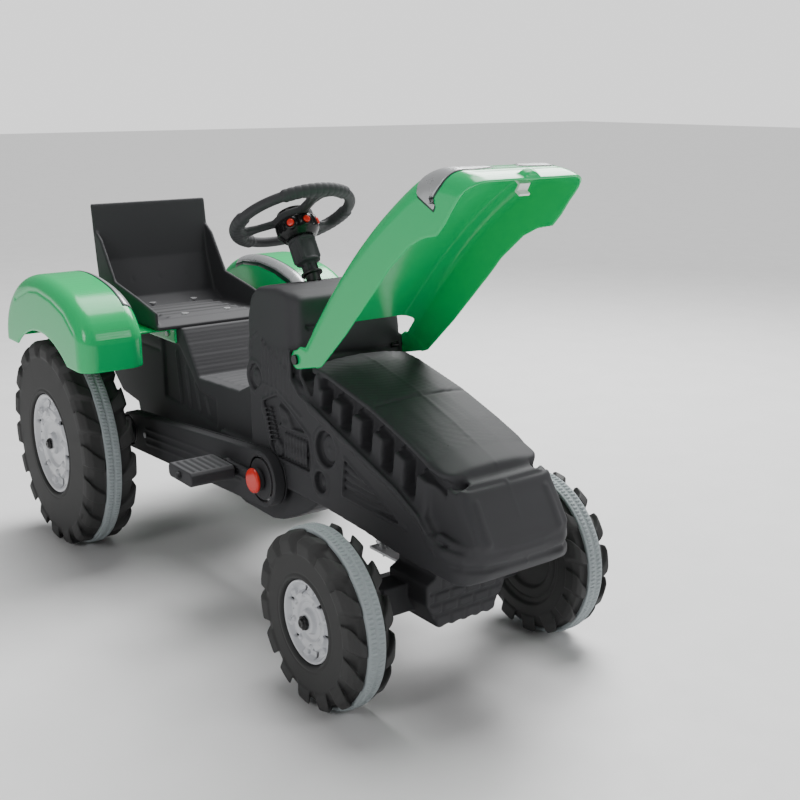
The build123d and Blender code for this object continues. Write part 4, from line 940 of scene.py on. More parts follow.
@dataclass
class Body:
    """The one-piece moulded body: tub, engine block, cowl, spine and sump."""

    half_width: float = 91.0
    ledge: tuple[Point2, ...] = ((-192, 362), (-176, 347), (-118, 328), (-35, 301), (31, 279), (78, 256),
                                 (98, 236), (118, 227), (163, 225))
    cover: tuple[Point2, ...] = ((-184, 397), (-143, 392), (-45, 369), (28, 345), (118, 311))
    crown: float = 7.0
    vent: tuple[Point2, ...] = ((-88, 291), (-94, 237), (52, 232))
    round_zones: tuple[tuple[Point3, Point3, float], ...] = (
        ((80, -130, 150), (215, 130, 262), 5.5),
        ((70, -110, 240), (190, 110, 350), 4.5),
        ((-380, -120, 400), (-190, 120, 540), 4.5),
    )
    pitch: float = 1.8

    def build(self, shop: Workshop) -> None:
        """Make the body and finish the fixed hardware on it."""
        clay = Clay.of_node(shop.nodes["body_shell"], self.pitch).fill_across()
        bench = Bench(clay, shop.axle_x)
        for low, high, radius in self.round_zones:
            bench.melt(low, high, radius)
        for work in (self._ledges, self._ports, self._vent, self._engine, self._cowl, self._front,
                     self._cover, self._rear):
            work(bench)
        mesh = clay.soften(1.5).mesh("body_form", 0.34)
        shop.piece("body_form", mesh, BLACK, "body", ["body_shell"])
        shop.keep_node("hood_hinge_pins", GLOSS_BLACK, 0.6)
        shop.keep_node("steering_bushes", DARK_NYLON, 0.4)
        for bush in ("crank_bushes", "rear_axle_bushes"):
            shop.keep_node(bush, NYLON, 0.4)

    def _ledges(self, bench: Bench) -> None:
        """The double ridge that runs down the cowl and forward along the ledge."""
        outer = [(-221, 93, 416), (-219, 93, 374), (-196, 93.5, 355)]
        outer += [(x, 93.5, z + 3) for x, z in self.ledge[2:]]
        inner = [(-205, 85.5, 416), (-203, 86, 380), (-176, 86, 350)]
        inner += [(x, 86, z + 1) for x, z in self.ledge[2:7]]
        under = [(x, 95.5, z - 8) for x, z in self.ledge[2:7]]
        bench.add_pair(bead(outer[:4], 3.0), bead(inner, 3.0))
        bench.cut_pair(bead(under, 2.4))
        gap = [(x, 90.2, z + 3.0) for x, _, z in inner[2:]]
        bench.cut_pair(bead(gap, 2.4))

    def _ports(self, bench: Bench) -> None:
        """Round engine ports with sunk discs and small centre bosses."""
        face = self.half_width
        for port in PORTS:
            (x, z), radius, depth = port.centre, port.radius, port.depth
            well = rod((x, face - depth / 2 + 3, z), radius, depth + 6, 1)
            bench.cut_pair(well, blend=1.5)
            disc = rod((x + 3, face - depth + 1, z), radius - 6, 7, 1, 1.0)
            boss = rod((x + 3, face - depth + 3, z), 4.0, 8, 1, 1.0)
            bench.add_pair(disc, boss)
            bench.cut_pair(rod((x + 3, face - depth + 7, z), 1.8, 4, 1))
            bench.cut_pair(ring((x, face + 2.5, z), radius + 8.5, 2.4, 3, 1))

    def _vent(self, bench: Bench) -> None:
        """The three-cornered vent with slanted louvres."""
        face = self.half_width
        bench.cut_pair(plate(self.vent, face - 5, face + 6, 1.0), blend=1.5)
        (ax, az), (bx, bz), (cx, cz) = self.vent
        for share in (0.16, 0.38, 0.60, 0.82):
            x1, z1 = ax + (bx - ax) * share + 2, az + (bz - az) * share - 2
            reach = 0.25 + 0.68 * share
            x2, z2 = ax + (cx - ax) * reach, az + (cz - az) * reach
            slat = [(x1, z1), (x2, z2 - 1), (x2 - 3, z2 - 5), (x1, z1 - 9)]
            bench.add_pair(plate(slat, face - 7, face - 1.2, 0.8), blend=1.0)
        rim = [(x, face + 0.6, z) for x, z in (*self.vent, self.vent[0])]
        bench.add_pair(bead(rim, 2.4))

    def _engine(self, bench: Bench) -> None:
        """Finned barrel, toothed rack, brackets and bolt bosses ahead of the crank."""
        face = self.half_width
        bay = [(-306, 326), (-286, 262), (-270, 246), (-176, 246), (-168, 262), (-176, 300), (-226, 328),
               (-262, 344)]
        bench.cut_pair(plate(bay, face - 4.5, face + 8, 2.0), blend=2.0)
        border = [(x, face + 0.4, z) for x, z in (*bay, bay[0])]
        bench.add_pair(bead(border, 2.8))
        bench.add_pair(brick((-250, face - 8, 254), (-186, face - 1.5, 288), 2.0))
        for step in range(8):
            x = -247 + step * 8.4
            fin = [(x, face - 1, 252), (x + 5, face + 1.6, 271), (x + 1, face - 1, 290)]
            bench.add_pair(bead(fin, 2.3), blend=0.4)
        bench.add_pair(rod((-262, face - 2, 262), 11, 10, 1, 1.5))
        bench.cut_pair(rod((-262, face + 3, 262), 5, 4, 1))
        for step in range(8):
            share = step / 7
            x, z = -286 + 18 * share, 318 - 44 * share
            bench.add_pair(dome((x + 4, face, z), (3.2, 4.0, 2.6)), blend=0.4)
            bench.add_pair(bead([(x - 1, face - 1, z), (x - 22, face + 0.6, z - 5)], 2.2), blend=0.4)
        lobe = [(-262, 330), (-238, 322), (-222, 304), (-228, 294), (-252, 298)]
        bench.add_pair(plate(lobe, face - 8, face + 1.2, 2.0), blend=1.0)
        bench.cut_pair(dome((-243, face + 2, 311), (11, 4.0, 7)))
        bench.add_pair(bead([(-262, face - 1, 297), (-184, face - 1, 300)], 3.0))
        curve = [(-322, 338), (-300, 352), (-262, 352), (-222, 334), (-196, 322)]
        arch = [(x, face + 0.5, z) for x, z in curve]
        bench.add_pair(bead(arch, 2.4))

    def _cowl(self, bench: Bench) -> None:
        """Grooves on the cowl's front, ridges on its sides and screws' dimples."""
        for x, z, reach in ((-222.5, 480, 66), (-214.5, 463, 70), (-207, 446, 66)):
            groove = [(x - 4, reach + 6, z + 3), (x, reach, z), (x, -reach, z), (x - 4, -reach - 6, z + 3)]
            bench.cut(bead(groove, 3.0), blend=2.0)
            bench.cut_pair(dome((x, reach + 2, z), (4, 4, 4)), blend=2.0)
        lid = [(-345, 60), (-345, -60)]
        bench.cut(bead([(x, y, 430) for x, y in lid], 2.0))
        bench.add_pair(bead([(-338, 91, 330), (-338, 91, 410), (-318, 91, 424)], 1.6))
        for step in range(7):
            x = -300 + step * 10.5
            bench.add_pair(bead([(x, 92.4, 362 - step * 1.5), (x, 92.4, 416 - step * 5)], 2.2))
        bench.add(dome((-207, 30, 428), (9, 50, 26)), blend=6.0)

    def _front(self, bench: Bench) -> None:
        """Stacked ridges round the front lip and the ridged corners of the fascia."""
        lip = [(60, 95.5), (118, 95.5), (132, 95), (160, 86), (176, 66), (180.5, 30), (180.5, 0)]
        low = [(x, y, 211 if x > 110 else on_line(self.ledge, x) - 12 - (x < 100) * 2) for x, y in lip]
        bench.cut_pair(bead(low[1:], 4.2), blend=3.0)
        high = [(x - 5, y - 5, 224) for x, y in lip[1:]]
        bench.add_pair(bead(high, 5.0), blend=3.0)
        crease = [(x - 9, y - 9, 229.5) for x, y in lip[2:]]
        bench.cut_pair(bead(crease, 2.2), blend=2.0)
        inner = [(112, 84, 240), (134, 82, 236), (158, 75, 234), (170, 54, 233), (174, 26, 232),
                 (174.5, 0, 232)]
        bench.add_pair(bead(inner, 4.6), blend=4.0)
        for path in ([(172, 57, 241), (159, 57, 263), (145.5, 56, 284)],
                     [(166, 71, 241), (153, 70, 262), (140, 69, 282)]):
            bench.add_pair(bead(path, 5.0), blend=3.0)
        brow = [(112, 74, 309), (132, 72, 304), (138, 58, 302), (139.5, 0, 302)]
        bench.cut_pair(bead(brow, 2.6), blend=4.0)
        seam = [(181, 0, 205), (173, 0, 232), (161.6, 0, 263), (147.6, 0, 285), (138, 0, 302)]
        bench.add(bead(seam, 1.5), blend=0.8)

    def _cover(self, bench: Bench) -> None:
        """The engine cover: rounded front corners, a dark gap under its edge, a crease and the mould seam."""
        middle, radius = (118 - 26.0, 79 - 26.0), 26.0

        def corner(x: Array, y: Array, z: Array) -> Array:
            beyond = radius - np.hypot(x - middle[0], np.abs(y) - middle[1])
            high = on_slope(x) - z
            return np.maximum(np.maximum(beyond, middle[0] - x), np.maximum(middle[1] - np.abs(y), high))

        def on_slope(x: Array) -> Array:
            return 345 - (x - 28) * 34 / 90 - 10.0

        bench.cut(Solid((90, -82, 290), (122, 82, 336), corner))
        gap = [(-150, 77, on_line(self.cover, -150) - 11), (-45, 77, 358), (28, 77, 334), (100, 76, 306),
               (119, 66, 300.5), (124, 50, 299), (125, 0, 299)]
        bench.cut_pair(bead(gap, 3.6), blend=1.5)
        crease = [(-42, 76, on_line(self.cover, -42) + 1),
                  (-36, 0, on_line(self.cover, -36) + self.crown + 1.2)]
        bench.cut_pair(bead(crease, 1.9), blend=2.0)
        top = [(x, 0, z + self.crown + 0.4) for x, z in self.cover]
        bench.add(bead(top, 1.5), blend=0.8)
        front = [(118, 0, 318), (121, 0, 304)]
        bench.add(bead(front, 1.5), blend=0.8)
        stops = range(-160, 116, 25)
        gap = [(x, on_line(self.cover, x) - 9) for x in stops]
        gap += [(x, on_line(self.cover, x) - 23) for x in reversed(stops)]
        bench.cut_pair(plate(gap, 67, 92, 1.0), blend=2.0)
        for index in range(6):
            bench.add(self._tooth(68 - 47.5 * index), blend=1.5)
        edge = [(-140, 75, on_line(self.cover, -140) + 1), (-45, 75, 370.5), (28, 75, 346.5), (90, 74, 323)]
        bench.cut_pair(bead(edge, 1.0), blend=2.0)

    def _tooth(self, x: float) -> Solid:
        """One wedge-shaped tooth of the row under the cover, its outer face leaning in towards its head."""
        foot, head = on_line(self.ledge, x) - 4, on_line(self.cover, x) - 17
        outline = [(x - 15, foot + 5), (x + 15, foot - 5), (x + 15, head - 10), (x - 9, head - 2)]

        def distance(u: Array, v: Array, w: Array) -> Array:
            lean = np.abs(v) - (86.5 - (w - foot) * 0.30)
            return joined(outline_distance(u, w, outline), np.maximum(lean, 55 - np.abs(v)), 1.5)

        return Solid((x - 18, -87, foot - 6), (x + 19, 87, head + 1), distance)

    def _rear(self, bench: Bench) -> None:
        """Grip bars on the step-through, side panels on the spine and a ribbed tail."""
        for step in range(6):
            x = -438 - step * 20
            z = 312 - (x + 420) / -140 * 6
            bench.add(bead([(x, -48, z + 0.6), (x, 48, z + 0.6)], 2.4))
        panel = [(-690, 250), (-690, 352), (-628, 352), (-560, 286), (-500, 280), (-500, 236)]
        bench.cut_pair(plate(panel, 67.5, 76, 1.5), blend=2.0)
        for step in range(4):
            x = -530 - step * 34
            bench.add_pair(bead([(x, 67.5, 250), (x - 10, 67.5, 276 + step * 20)], 3.0))
        for side in (-36, 0, 36):
            bench.add(bead([(-916, side, 300), (-916, side, 350)], 3.0))
        bench.cut_pair(bead([(-900, 70.5, 330), (-705, 70.5, 330)], 2.0))
        bench.cut(bead([(-700, 50, 380.5), (-700, -50, 380.5)], 2.0))


# ------------------------------------------------------------------ hood
@dataclass
class CrownWrap:
    """Maps a flat sheet onto a pressed crown: along its top line, and across it over the shoulders.

    Args:
        line: The crown's top line in the side view, as the piece lies closed.
        half_width: Half the crown's width.
        shoulder: Radius of its shoulders.
        middle: The crown's middle plane, along y.
    """

    line: tuple[Point2, ...]
    half_width: float
    shoulder: float
    middle: float = 0.0

    def place(self, along: float, across: float, out: float) -> tuple[Vector, Vector]:
        """A place on the crown and its outward direction.

        Args:
            along: Distance from the line's front end.
            across: Distance from the middle plane, measured over the shoulder.
            out: Distance off the surface.

        Returns:
            The place and the direction, in millimetres.
        """
        line = [Vector((x, 0, z)) for x, z in self.line[::-1]]
        left = along
        for start, end in zip(line, line[1:]):
            run = (end - start).length
            if left <= run or end is line[-1]:
                break
            left -= run
        forward = (end - start).normalized()
        base = start + forward * left
        normal = Vector((-forward.z, 0, forward.x))
        if normal.z < 0:
            normal = -normal
        flat = self.half_width - self.shoulder
        side = 1 if across >= 0 else -1
        reach = abs(across)
        if reach <= flat:
            sideways, depth, lean = reach, 0.0, 0.0
        elif reach <= flat + self.shoulder * math.pi / 2:
            lean = (reach - flat) / self.shoulder
            sideways = flat + self.shoulder * math.sin(lean)
            depth = self.shoulder * (1 - math.cos(lean))
        else:
            lean = math.pi / 2
            sideways = self.half_width
            depth = self.shoulder + reach - flat - self.shoulder * math.pi / 2
        outward = normal * math.cos(lean) + Vector((0, side, 0)) * math.sin(lean)
        spot = base - normal * depth + Vector((0, self.middle + side * sideways, 0)) + outward * out
        return spot, outward


@dataclass
class Decal:
    """A foil sticker between two edges, each given as (along, across) places on a crown."""

    name: str
    first: Sequence[Point2]
    second: Sequence[Point2]
    lift: float = 0.45
    columns: int = 60
    rows: int = 24

    @staticmethod
    def _resample(edge: Sequence[Point2], count: int) -> Array:
        """Evenly spaced places along an edge."""
        edge = np.array(edge, float)
        steps = np.r_[0, np.cumsum(np.hypot(*np.diff(edge, axis=0).T))]
        wanted = np.linspace(0, steps[-1], count)
        return np.stack([np.interp(wanted, steps, edge[:, i]) for i in range(2)], 1)

    def mesh(self, wrap: CrownWrap, turn: Matrix, skin: BVHTree) -> bpy.types.Mesh:
        """The sticker's mesh, laid on a skin.

        Args:
            wrap: The crown it follows.
            turn: Takes the crown's frame, in millimetres, to the row frame, in metres.
            skin: The finished surface it lies on.

        Returns:
            A closed thin mesh.
        """
        near, far = (self._resample(edge, self.columns) for edge in (self.first, self.second))
        layers: list[list[Vector]] = [[], []]
        for column in range(self.columns):
            for row in range(self.rows):
                share = row / (self.rows - 1)
                along, across = near[column] * (1 - share) + far[column] * share
                spot, outward = wrap.place(along, across, 12.0)
                start = turn @ spot
                way = (turn.to_3x3() @ outward).normalized()
                hit, _, _, _ = skin.ray_cast(start, -way, 0.03)
                foot = hit if hit is not None else turn @ wrap.place(along, across, 0.0)[0]
                layers[0].append(foot + way * (self.lift * MM))
                layers[1].append(foot - way * (0.3 * MM))
        places = np.array(layers[0] + layers[1], float)
        total, rows = self.columns * self.rows, self.rows
        faces = []
        for column in range(self.columns - 1):
            for row in range(rows - 1):
                a = column * rows + row
                faces.append((a, a + 1, a + rows + 1, a + rows))
                faces.append((total + a, total + a + rows, total + a + rows + 1, total + a + 1))
        rim = [row for row in range(rows)]
        rim += [column * rows + rows - 1 for column in range(1, self.columns)]
        rim += [(self.columns - 1) * rows + row for row in range(rows - 2, -1, -1)]
        rim += [column * rows for column in range(self.columns - 2, 0, -1)]
        for a, b in zip(rim, rim[1:] + rim[:1]):
            faces.append((b, a, total + a, total + b))
        return clean_mesh(self.name, places, np.array(faces), 1.0)


@dataclass
class Hood:
    """The lifting hood with its lamp stickers and inner clip."""

    line: tuple[Point2, ...] = ((-183, 411), (-116, 401), (-33, 385), (57, 359), (126, 331), (166, 310),
                                (190, 290), (206, 265), (218, 238), (222, 219))
    half_width: float = 91.0
    shoulder: float = 26.0
    open_angle: float = 58.0
    pitch: float = 1.4

    def build(self, shop: Workshop) -> None:
        """Make the shell, the stickers and the clip."""
        shell = shop.softened("hood_shell", GREEN, self.pitch, 1.1, 0.4)
        shop.keep_node("hood_catch", WHITE, 0.5)
        skin = skin_of(shell)
        pivot = Vector(shop.joints["hood_hinge"]["pos_m"])
        opened = Matrix.Rotation(math.radians(-self.open_angle), 4, "Y")
        turn = (Matrix.Translation(pivot) @ opened @ Matrix.Translation(-pivot)
                @ Matrix.Translation((shop.axle_x * MM, 0, 0)) @ Matrix.Scale(MM, 4))
        wrap = CrownWrap(self.line, self.half_width, self.shoulder)
        for side, label in ((-1, "right"), (1, "left")):
            back = [(112, 99 * side), (104, 70 * side), (86, 44 * side), (52, 20 * side)]
            front = [(112, 99 * side), (84, 126 * side), (58, 96 * side), (42, 62 * side), (48, 30 * side),
                     (52, 20 * side)]
            border = Decal(f"lamp_border_{label}", [self._grown(p, side, 3.2) for p in back],
                           [self._grown(p, side, 3.2) for p in front], 0.35)
            lamp = Decal(f"lamp_foil_{label}", back, front, 1.0)
            shop.piece(border.name, border.mesh(wrap, turn, skin), DARK_FOIL, "hood")
            shop.piece(lamp.name, lamp.mesh(wrap, turn, skin), FOIL, "hood")

    @staticmethod
    def _grown(place: Point2, side: int, by: float) -> Point2:
        """A sticker corner moved out from the sticker's middle."""
        middle = Vector((76.0, 72.0 * side))
        off = Vector(place) - middle
        return tuple(middle + off * (1 + by / max(off.length, 1)))


def skin_of(piece: bpy.types.Object) -> BVHTree:
    """A search tree over a piece's faces."""
    mesh = piece.data
    places = [v.co.copy() for v in mesh.vertices]
    return BVHTree.FromPolygons(places, [tuple(p.vertices) for p in mesh.polygons])


# ------------------------------------------------------------------ wheels
@dataclass
class Wheel:
    """A moulded tyre, its rubber running ring, rim and axle cap, for one axle.

    Args:
        axle: "front" or "rear".
        lugs: Lugs round each side.
        rim_radius: Radius of the rim.
        bore: Radius of the axle.
        pitch: Grid pitch for the tyre.
    """

    axle: str
    lugs: int
    rim_radius: float
    bore: float
    pitch: float
    ring_depth: float = 7.0
    lug_height: float = 6.0
    lug_sweep: float = 21.0
    radius: float = field(init=False, default=0.0)
    half: float = field(init=False, default=0.0)
    groove: float = field(init=False, default=0.0)

    def build(self, shop: Workshop) -> None:
        """Make the right wheel in its own frame, place it, and mirror it for the left."""
        low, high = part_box(f"{self.axle}_right_grip_ring")
        middle = (low + high) / 2
        self.radius = (high.z - low.z) / 2 / MM
        self.groove = (high.y - low.y) / 2 / MM
        tyre_low, tyre_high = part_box(f"{self.axle}_right_tyre")
        self.half = (tyre_high.y - tyre_low.y) / 2 / MM - 1.0
        pieces = {"tyre": (self._tyre(), TYRE), "grip_ring": (self._grip_ring(), GREY_RUBBER),
                  "rim": (self._rim(), SILVER), "axle_cap": (self._cap(), GLOSS_BLACK)}
        for kind, (mesh, finish) in pieces.items():
            mesh.transform(Matrix.Translation(middle))
            for side in ("right", "left"):
                node = f"{self.axle}_{side}_{kind}"
                placed = mesh if side == "right" else mirrored(mesh, node + "_form")
                shop.piece(node + "_form", placed, finish, shop.body_of[node], [node])

    def _space(self, radius: float, half: float, pitch: float) -> Clay:
        """Empty clay for a wheel piece."""
        return Clay((-radius, -half, -radius), (radius, half, radius), pitch)

    def _tyre(self) -> bpy.types.Mesh:
        """Carcass with raised bead and stepped inner dish, and swept lugs on both shoulders."""
        half, groove, rim = self.half, self.groove, self.rim_radius
        seat = self.radius - self.ring_depth
        tread = seat - 2
        step, dish, bore = self.radius * 0.62, self.radius * 0.42, self.bore + 0.05
        outer_side = [(-half + 7, rim + 0.5), (-half + 1.5, rim + 1.5), (-half, rim + 5),
                      (-half + 1.0, tread - 22), (-half + 4, tread - 11), (-half + 11, tread - 3)]
        running = [(-groove - 1, tread - 1), (-groove, seat), (groove, seat), (groove + 1, tread - 1)]
        inner_side = [(half - 11, tread - 3), (half - 4, tread - 11), (half - 1, tread - 22), (half, step),
                      (half - 5, step - 4), (half - 7, dish), (half - 12, dish - 4), (half - 12, bore)]
        well = [(-half + 15, bore), (-half + 15, rim - 1), (-half + 7, rim - 1)]
        profile = outer_side + running + inner_side + well
        top = tread + self.lug_height
        envelope = [(groove + 1, tread - 6), (groove + 1, top), (half - 8, top), (half - 2, top - 4.5),
                    (half + 1, tread - 5), (half + 1, tread - 20), (half - 6, tread - 24)]
        turn = 2 * math.pi / self.lugs
        foot = math.pi * self.radius / self.lugs

        def distance(x: Array, y: Array, z: Array) -> Array:
            r = np.hypot(x, z)
            angle = np.arctan2(z, x)
            carcass = outline_distance(y, r, profile)
            v = np.abs(y)
            share = np.clip((v - groove) / (half - groove), 0, 1.3)
            sweep = self.lug_sweep * share**1.5 / self.radius
            offset = np.where(y < 0, 0.0, turn / 2)
            off = np.mod(angle - sweep - offset + turn / 2, turn) - turn / 2
            width = foot * (0.34 + 0.20 * share - 0.08 * np.clip((r - tread) / self.lug_height, 0, 1))
            lug = np.maximum(np.abs(off) * r - width, outline_distance(v, r, envelope))
            return soft_least(carcass, lug, 2.5)

        clay = self._space(self.radius, half + 1, self.pitch)
        reach = self.radius
        clay.add(Solid((-reach, -half - 1, -reach), (reach, half + 1, reach), distance))
        clay.cut(ring((0, -half - 0.2, 0), rim + 9, 1.6, 3.0, 1), ring((0, half, 0), tread - 22, 1.6, 3.0, 1))
        clay.add(ring((0, -half + 0.6, 0), rim + 4, 3.0, 2.4, 1))
        clay.cut(ring((0, half - 6, 0), (step + dish) / 2, 1.8, 3.0, 1))
        return clay.soften(0.8).mesh(f"{self.axle}_tyre_form", 0.35)

    def _grip_ring(self) -> bpy.types.Mesh:
        """The running ring, with two rows of short moulded bars."""
        radius, half = self.radius, self.groove
        inner = radius - self.ring_depth
        right = [(-half, inner), (-half, radius - 2.4), (-half + 1.6, radius - 1.6)]
        band = right + [(-y, r) for y, r in right[::-1]]
        count = round(2 * math.pi * radius / 6.0)
        turn = 2 * math.pi / count

        def distance(x: Array, y: Array, z: Array) -> Array:
            r = np.hypot(x, z)
            base = outline_distance(y, r, band)
            off = np.mod(np.arctan2(z, x) + np.where(y < 0, 0.0, turn / 2), turn) - turn / 2
            row = np.abs(np.abs(y) - half * 0.46) - half * 0.26
            bar = np.maximum(np.maximum(np.abs(off) * r - 1.5, row), r - radius)
            return np.minimum(base, np.maximum(bar, inner + 2 - r))

        clay = self._space(radius, half, 0.9)
        clay.add(Solid((-radius, -half, -radius), (radius, half, radius), distance))
        clay.cut(ring((0, 0, 0), radius, 4.4, 1.2, 1))
        return clay.soften(0.4).mesh(f"{self.axle}_grip_ring_form", 0.35)

    def _rim(self) -> bpy.types.Mesh:
        """Dished rim with a rolled edge, a bolt circle, bosses and slots."""
        radius, face = self.rim_radius, -self.half + 3.0
        hub = self.bore + 9
        profile = [
            (face, self.bore + 0.1), (face, hub), (face + 7, hub + 2), (face + 8, radius * 0.44),
            (face + 4, radius * 0.50), (face + 3, radius * 0.68), (face + 9, radius * 0.74),
            (face + 9, radius * 0.86), (face + 1.5, radius * 0.93), (face, radius * 0.965),
            (face + 0.6, radius - 0.4), (face + 5, radius - 0.4), (face + 12.5, radius * 0.88),
            (face + 12.5, radius * 0.7), (face + 8, radius * 0.62), (face + 12, radius * 0.5),
            (face + 12, self.bore + 0.1),
        ]

        def dish(x: Array, y: Array, z: Array) -> Array:
            return outline_distance(y, np.hypot(x, z), profile)

        clay = self._space(radius, self.half, 1.0)
        clay.add(Solid((-radius, face, -radius), (radius, face + 12.5, radius), dish))
        for index in range(8):
            angle = math.radians(index * 45 + 12)
            spot = (radius * 0.59 * math.cos(angle), face + 3.2, radius * 0.59 * math.sin(angle))
            clay.add(rod(spot, radius * 0.072, 3.0, 1, 0.8), blend=0.8)
            clay.add(dome((spot[0], face + 1.6, spot[2]), (radius * 0.05, 2.2, radius * 0.05)), blend=0.6)
        for index in range(6):
            angle = math.radians(index * 60 + 20)
            spot = (radius * 0.80 * math.cos(angle), face + 7, radius * 0.80 * math.sin(angle))
            clay.add(rod(spot, radius * 0.09, 8, 1, 1.2), dome(
                (spot[0], face + 2.6, spot[2]), (radius * 0.055, 2.6, radius * 0.055)), blend=2.0)
            slit = math.radians(index * 60 + 46)
            ends = [(radius * share * math.cos(slit + lean), face + 9, radius * share * math.sin(slit + lean))
                    for share, lean in ((0.66, 0.06), (0.87, -0.06))]
            for depth in (-3, 0, 3):
                clay.cut(bead([(x, y + depth, z) for x, y, z in ends], radius * 0.042), blend=0.8)
        clay.cut(ring((0, face + 3.2, 0), radius * 0.53, 1.2, 2.0, 1))
        return clay.soften(0.6).mesh(f"{self.axle}_rim_form", 0.4)

    def _cap(self) -> bpy.types.Mesh:
        """The push-on axle cap: a ribbed collar and a domed end."""
        face = -self.half + 3.0
        clay = self._space(11, self.half + 6, 0.6)
        clay.add(rod((0, face - 2.9, 0), 9.0, 4.4, 1, 0.8), rod((0, face - 5.6, 0), 6.6, 4.4, 1, 1.6))
        for index in range(8):
            angle = math.radians(index * 45)
            spot = (8.4 * math.cos(angle), face - 2.9, 8.4 * math.sin(angle))
            clay.add(rod(spot, 1.5, 4.2, 1, 0.6), blend=0.6)
        clay.cut(dome((0, face - 8, 0), (3, 1.4, 3)))
        return clay.soften(0.4).mesh(f"{self.axle}_axle_cap_form", 0.5)


# ------------------------------------------------------------------ steering
def spun(solid: Solid, degrees: float) -> Solid:
    """A solid turned about the z axis."""
    corners = [(x, y) for x in (solid.low[0], solid.high[0]) for y in (solid.low[1], solid.high[1])]
    reach = max(math.hypot(x, y) for x, y in corners)
    cos, sin = math.cos(math.radians(degrees)), math.sin(math.radians(degrees))

    def distance(x: Array, y: Array, z: Array) -> Array:
        return solid.distance(x * cos + y * sin, y * cos - x * sin, z)

    return Solid((-reach, -reach, solid.low[2]), (reach, reach, solid.high[2]), distance)


@dataclass
class Steering:
    """Sleeve, button drum and three-spoked wheel on the tilted column."""

    tilt: float = 31.0
    sleeve: tuple[float, float] = (26.0, 66.0)
    sleeve_radius: float = 17.0
    drum_end: float = 94.0
    drum_radius: float = 32.0
    wheel_at: float = 103.0
    wheel_radius: float = 98.0
    rim_width: float = 18.0
    rim_height: float = 15.5
    button_step: float = 45.0
    shaft_radius: float = 7.0

    def build(self, shop: Workshop) -> None:
        """Make every piece on the column."""
        pivot = Vector(shop.joints["steering_turn"]["pos_m"])
        lean = Matrix.Rotation(math.radians(-self.tilt), 4, "Y")
        place = Matrix.Translation(pivot) @ lean
        made = {"steering_sleeve": (self._sleeve(), BLACK), "steering_boss": (self._boss(), GLOSS_BLACK),
                "steering_wheel": (self._wheel(), BLACK), "steering_cap": (self._cap(), GLOSS_BLACK)}
        for node, (mesh, finish) in made.items():
            mesh.transform(place)
            shop.piece(node + "_form", mesh, finish, shop.body_of[node], [node])
        for button in ("right", "centre", "left"):
            shop.softened(f"steering_button_{button}", RED, 0.45, 0.9, 0.5)
        shop.keep_node("steering_shaft", STEEL, 0.5)

    def _sleeve(self) -> bpy.types.Mesh:
        """The sleeve, its fins and its two collars."""
        low, high = self.sleeve
        clay = Clay((-26, -26, 10), (26, 26, high + 1), 0.9)
        clay.add(rod((0, 0, (12.6 + low) / 2 + 1), self.sleeve_radius - 5, low - 10.6, 2),
                 rod((0, 0, (low + high) / 2), self.sleeve_radius, high - low, 2, 3.0), blend=4.0)
        clay.add(rod((0, 0, high - 2.5), self.sleeve_radius + 3, 5, 2, 1.0),
                 rod((0, 0, low + 3), self.sleeve_radius + 1.6, 3.5, 2, 1.0), blend=1.5)
        fin = brick((self.sleeve_radius - 3, -3.4, low + 5), (self.sleeve_radius + 4, 3.4, high - 3), 1.6)
        for degrees in (45, 135, 225, 315):
            clay.add(spun(fin, degrees), blend=3.0)
        notch = brick((self.sleeve_radius - 8, -2.4, 12), (self.sleeve_radius, 2.4, low - 3), 0.6)
        for step in range(6):
            clay.cut(spun(notch, step * 60 + 30))
        clay.cut(rod((0, 0, 40), self.shaft_radius, 80, 2), blend=0.2)
        return clay.soften(0.7).mesh("steering_sleeve_form", 0.4)

    def _boss(self) -> bpy.types.Mesh:
        """The drum with facets, rims and a sunk collar round each button."""
        start, end, radius = self.sleeve[1], self.drum_end, self.drum_radius
        clay = Clay((-radius, -radius, start), (radius, radius, end), 0.8)
        flare = [(0, start), (radius - 8, start), (radius - 3, start + 6), (radius, start + 10),
                 (radius, end), (0, end)]
        buttons = (-self.button_step, 0, self.button_step)

        def drum(x: Array, y: Array, z: Array) -> Array:
            return outline_distance(np.hypot(x, y), z, flare)

        clay.add(Solid((-radius, -radius, start), (radius, radius, end), drum))
        facet = bead([(radius + 1.2, 0, start + 12), (radius + 1.2, 0, end - 4)], 2.4)
        for step in range(24):
            degrees = step * 15 + 7.5
            if min(abs((degrees - button + 180) % 360 - 180) for button in buttons) > 14:
                clay.cut(spun(facet, degrees), blend=1.2)
        middle = (start + end) / 2 + 4
        for degrees in buttons:
            collar = rod((radius - 1.5, 0, middle), 9.0, 4.0, 0, 1.2)
            clay.add(spun(collar, degrees), blend=1.5)
            clay.cut(spun(rod((radius - 4, 0, middle), 5.9, 13, 0), degrees), blend=0.5)
        clay.cut(ring((0, 0, end - 1.8), radius + 0.4, 1.6, 1.4, 2))
        clay.cut(rod((0, 0, 80), self.shaft_radius, 80, 2), blend=0.2)
        return clay.soften(0.6).mesh("steering_boss_form", 0.45)

    def _wheel(self) -> bpy.types.Mesh:
        """Rim with thicker grips, flared spokes and a star-shaped hub."""
        middle = self.wheel_radius - self.rim_width / 2 - 1.2
        half_width, half_height = self.rim_width / 2 - 0.8, self.rim_height / 2 - 0.8

        def rim(x: Array, y: Array, z: Array) -> Array:
            r = np.hypot(x, y)
            angle = np.degrees(np.arctan2(y, x))
            near = np.abs(np.mod(angle + 60, 120) - 60)
            grip = np.clip((37 - near) / 1.6, 0, 1) * 1.9
            ribs = np.clip(np.abs(np.mod(near, 6.2) - 3.1) - 2.35, 0, 1) * (near < 33) * 1.6
            u, v = (r - middle) / half_width, (z - self.wheel_at) / half_height
            oval = (np.abs(u) ** 2.5 + np.abs(v) ** 2.5) ** 0.4
            return (oval - 1) * half_height - grip + ribs

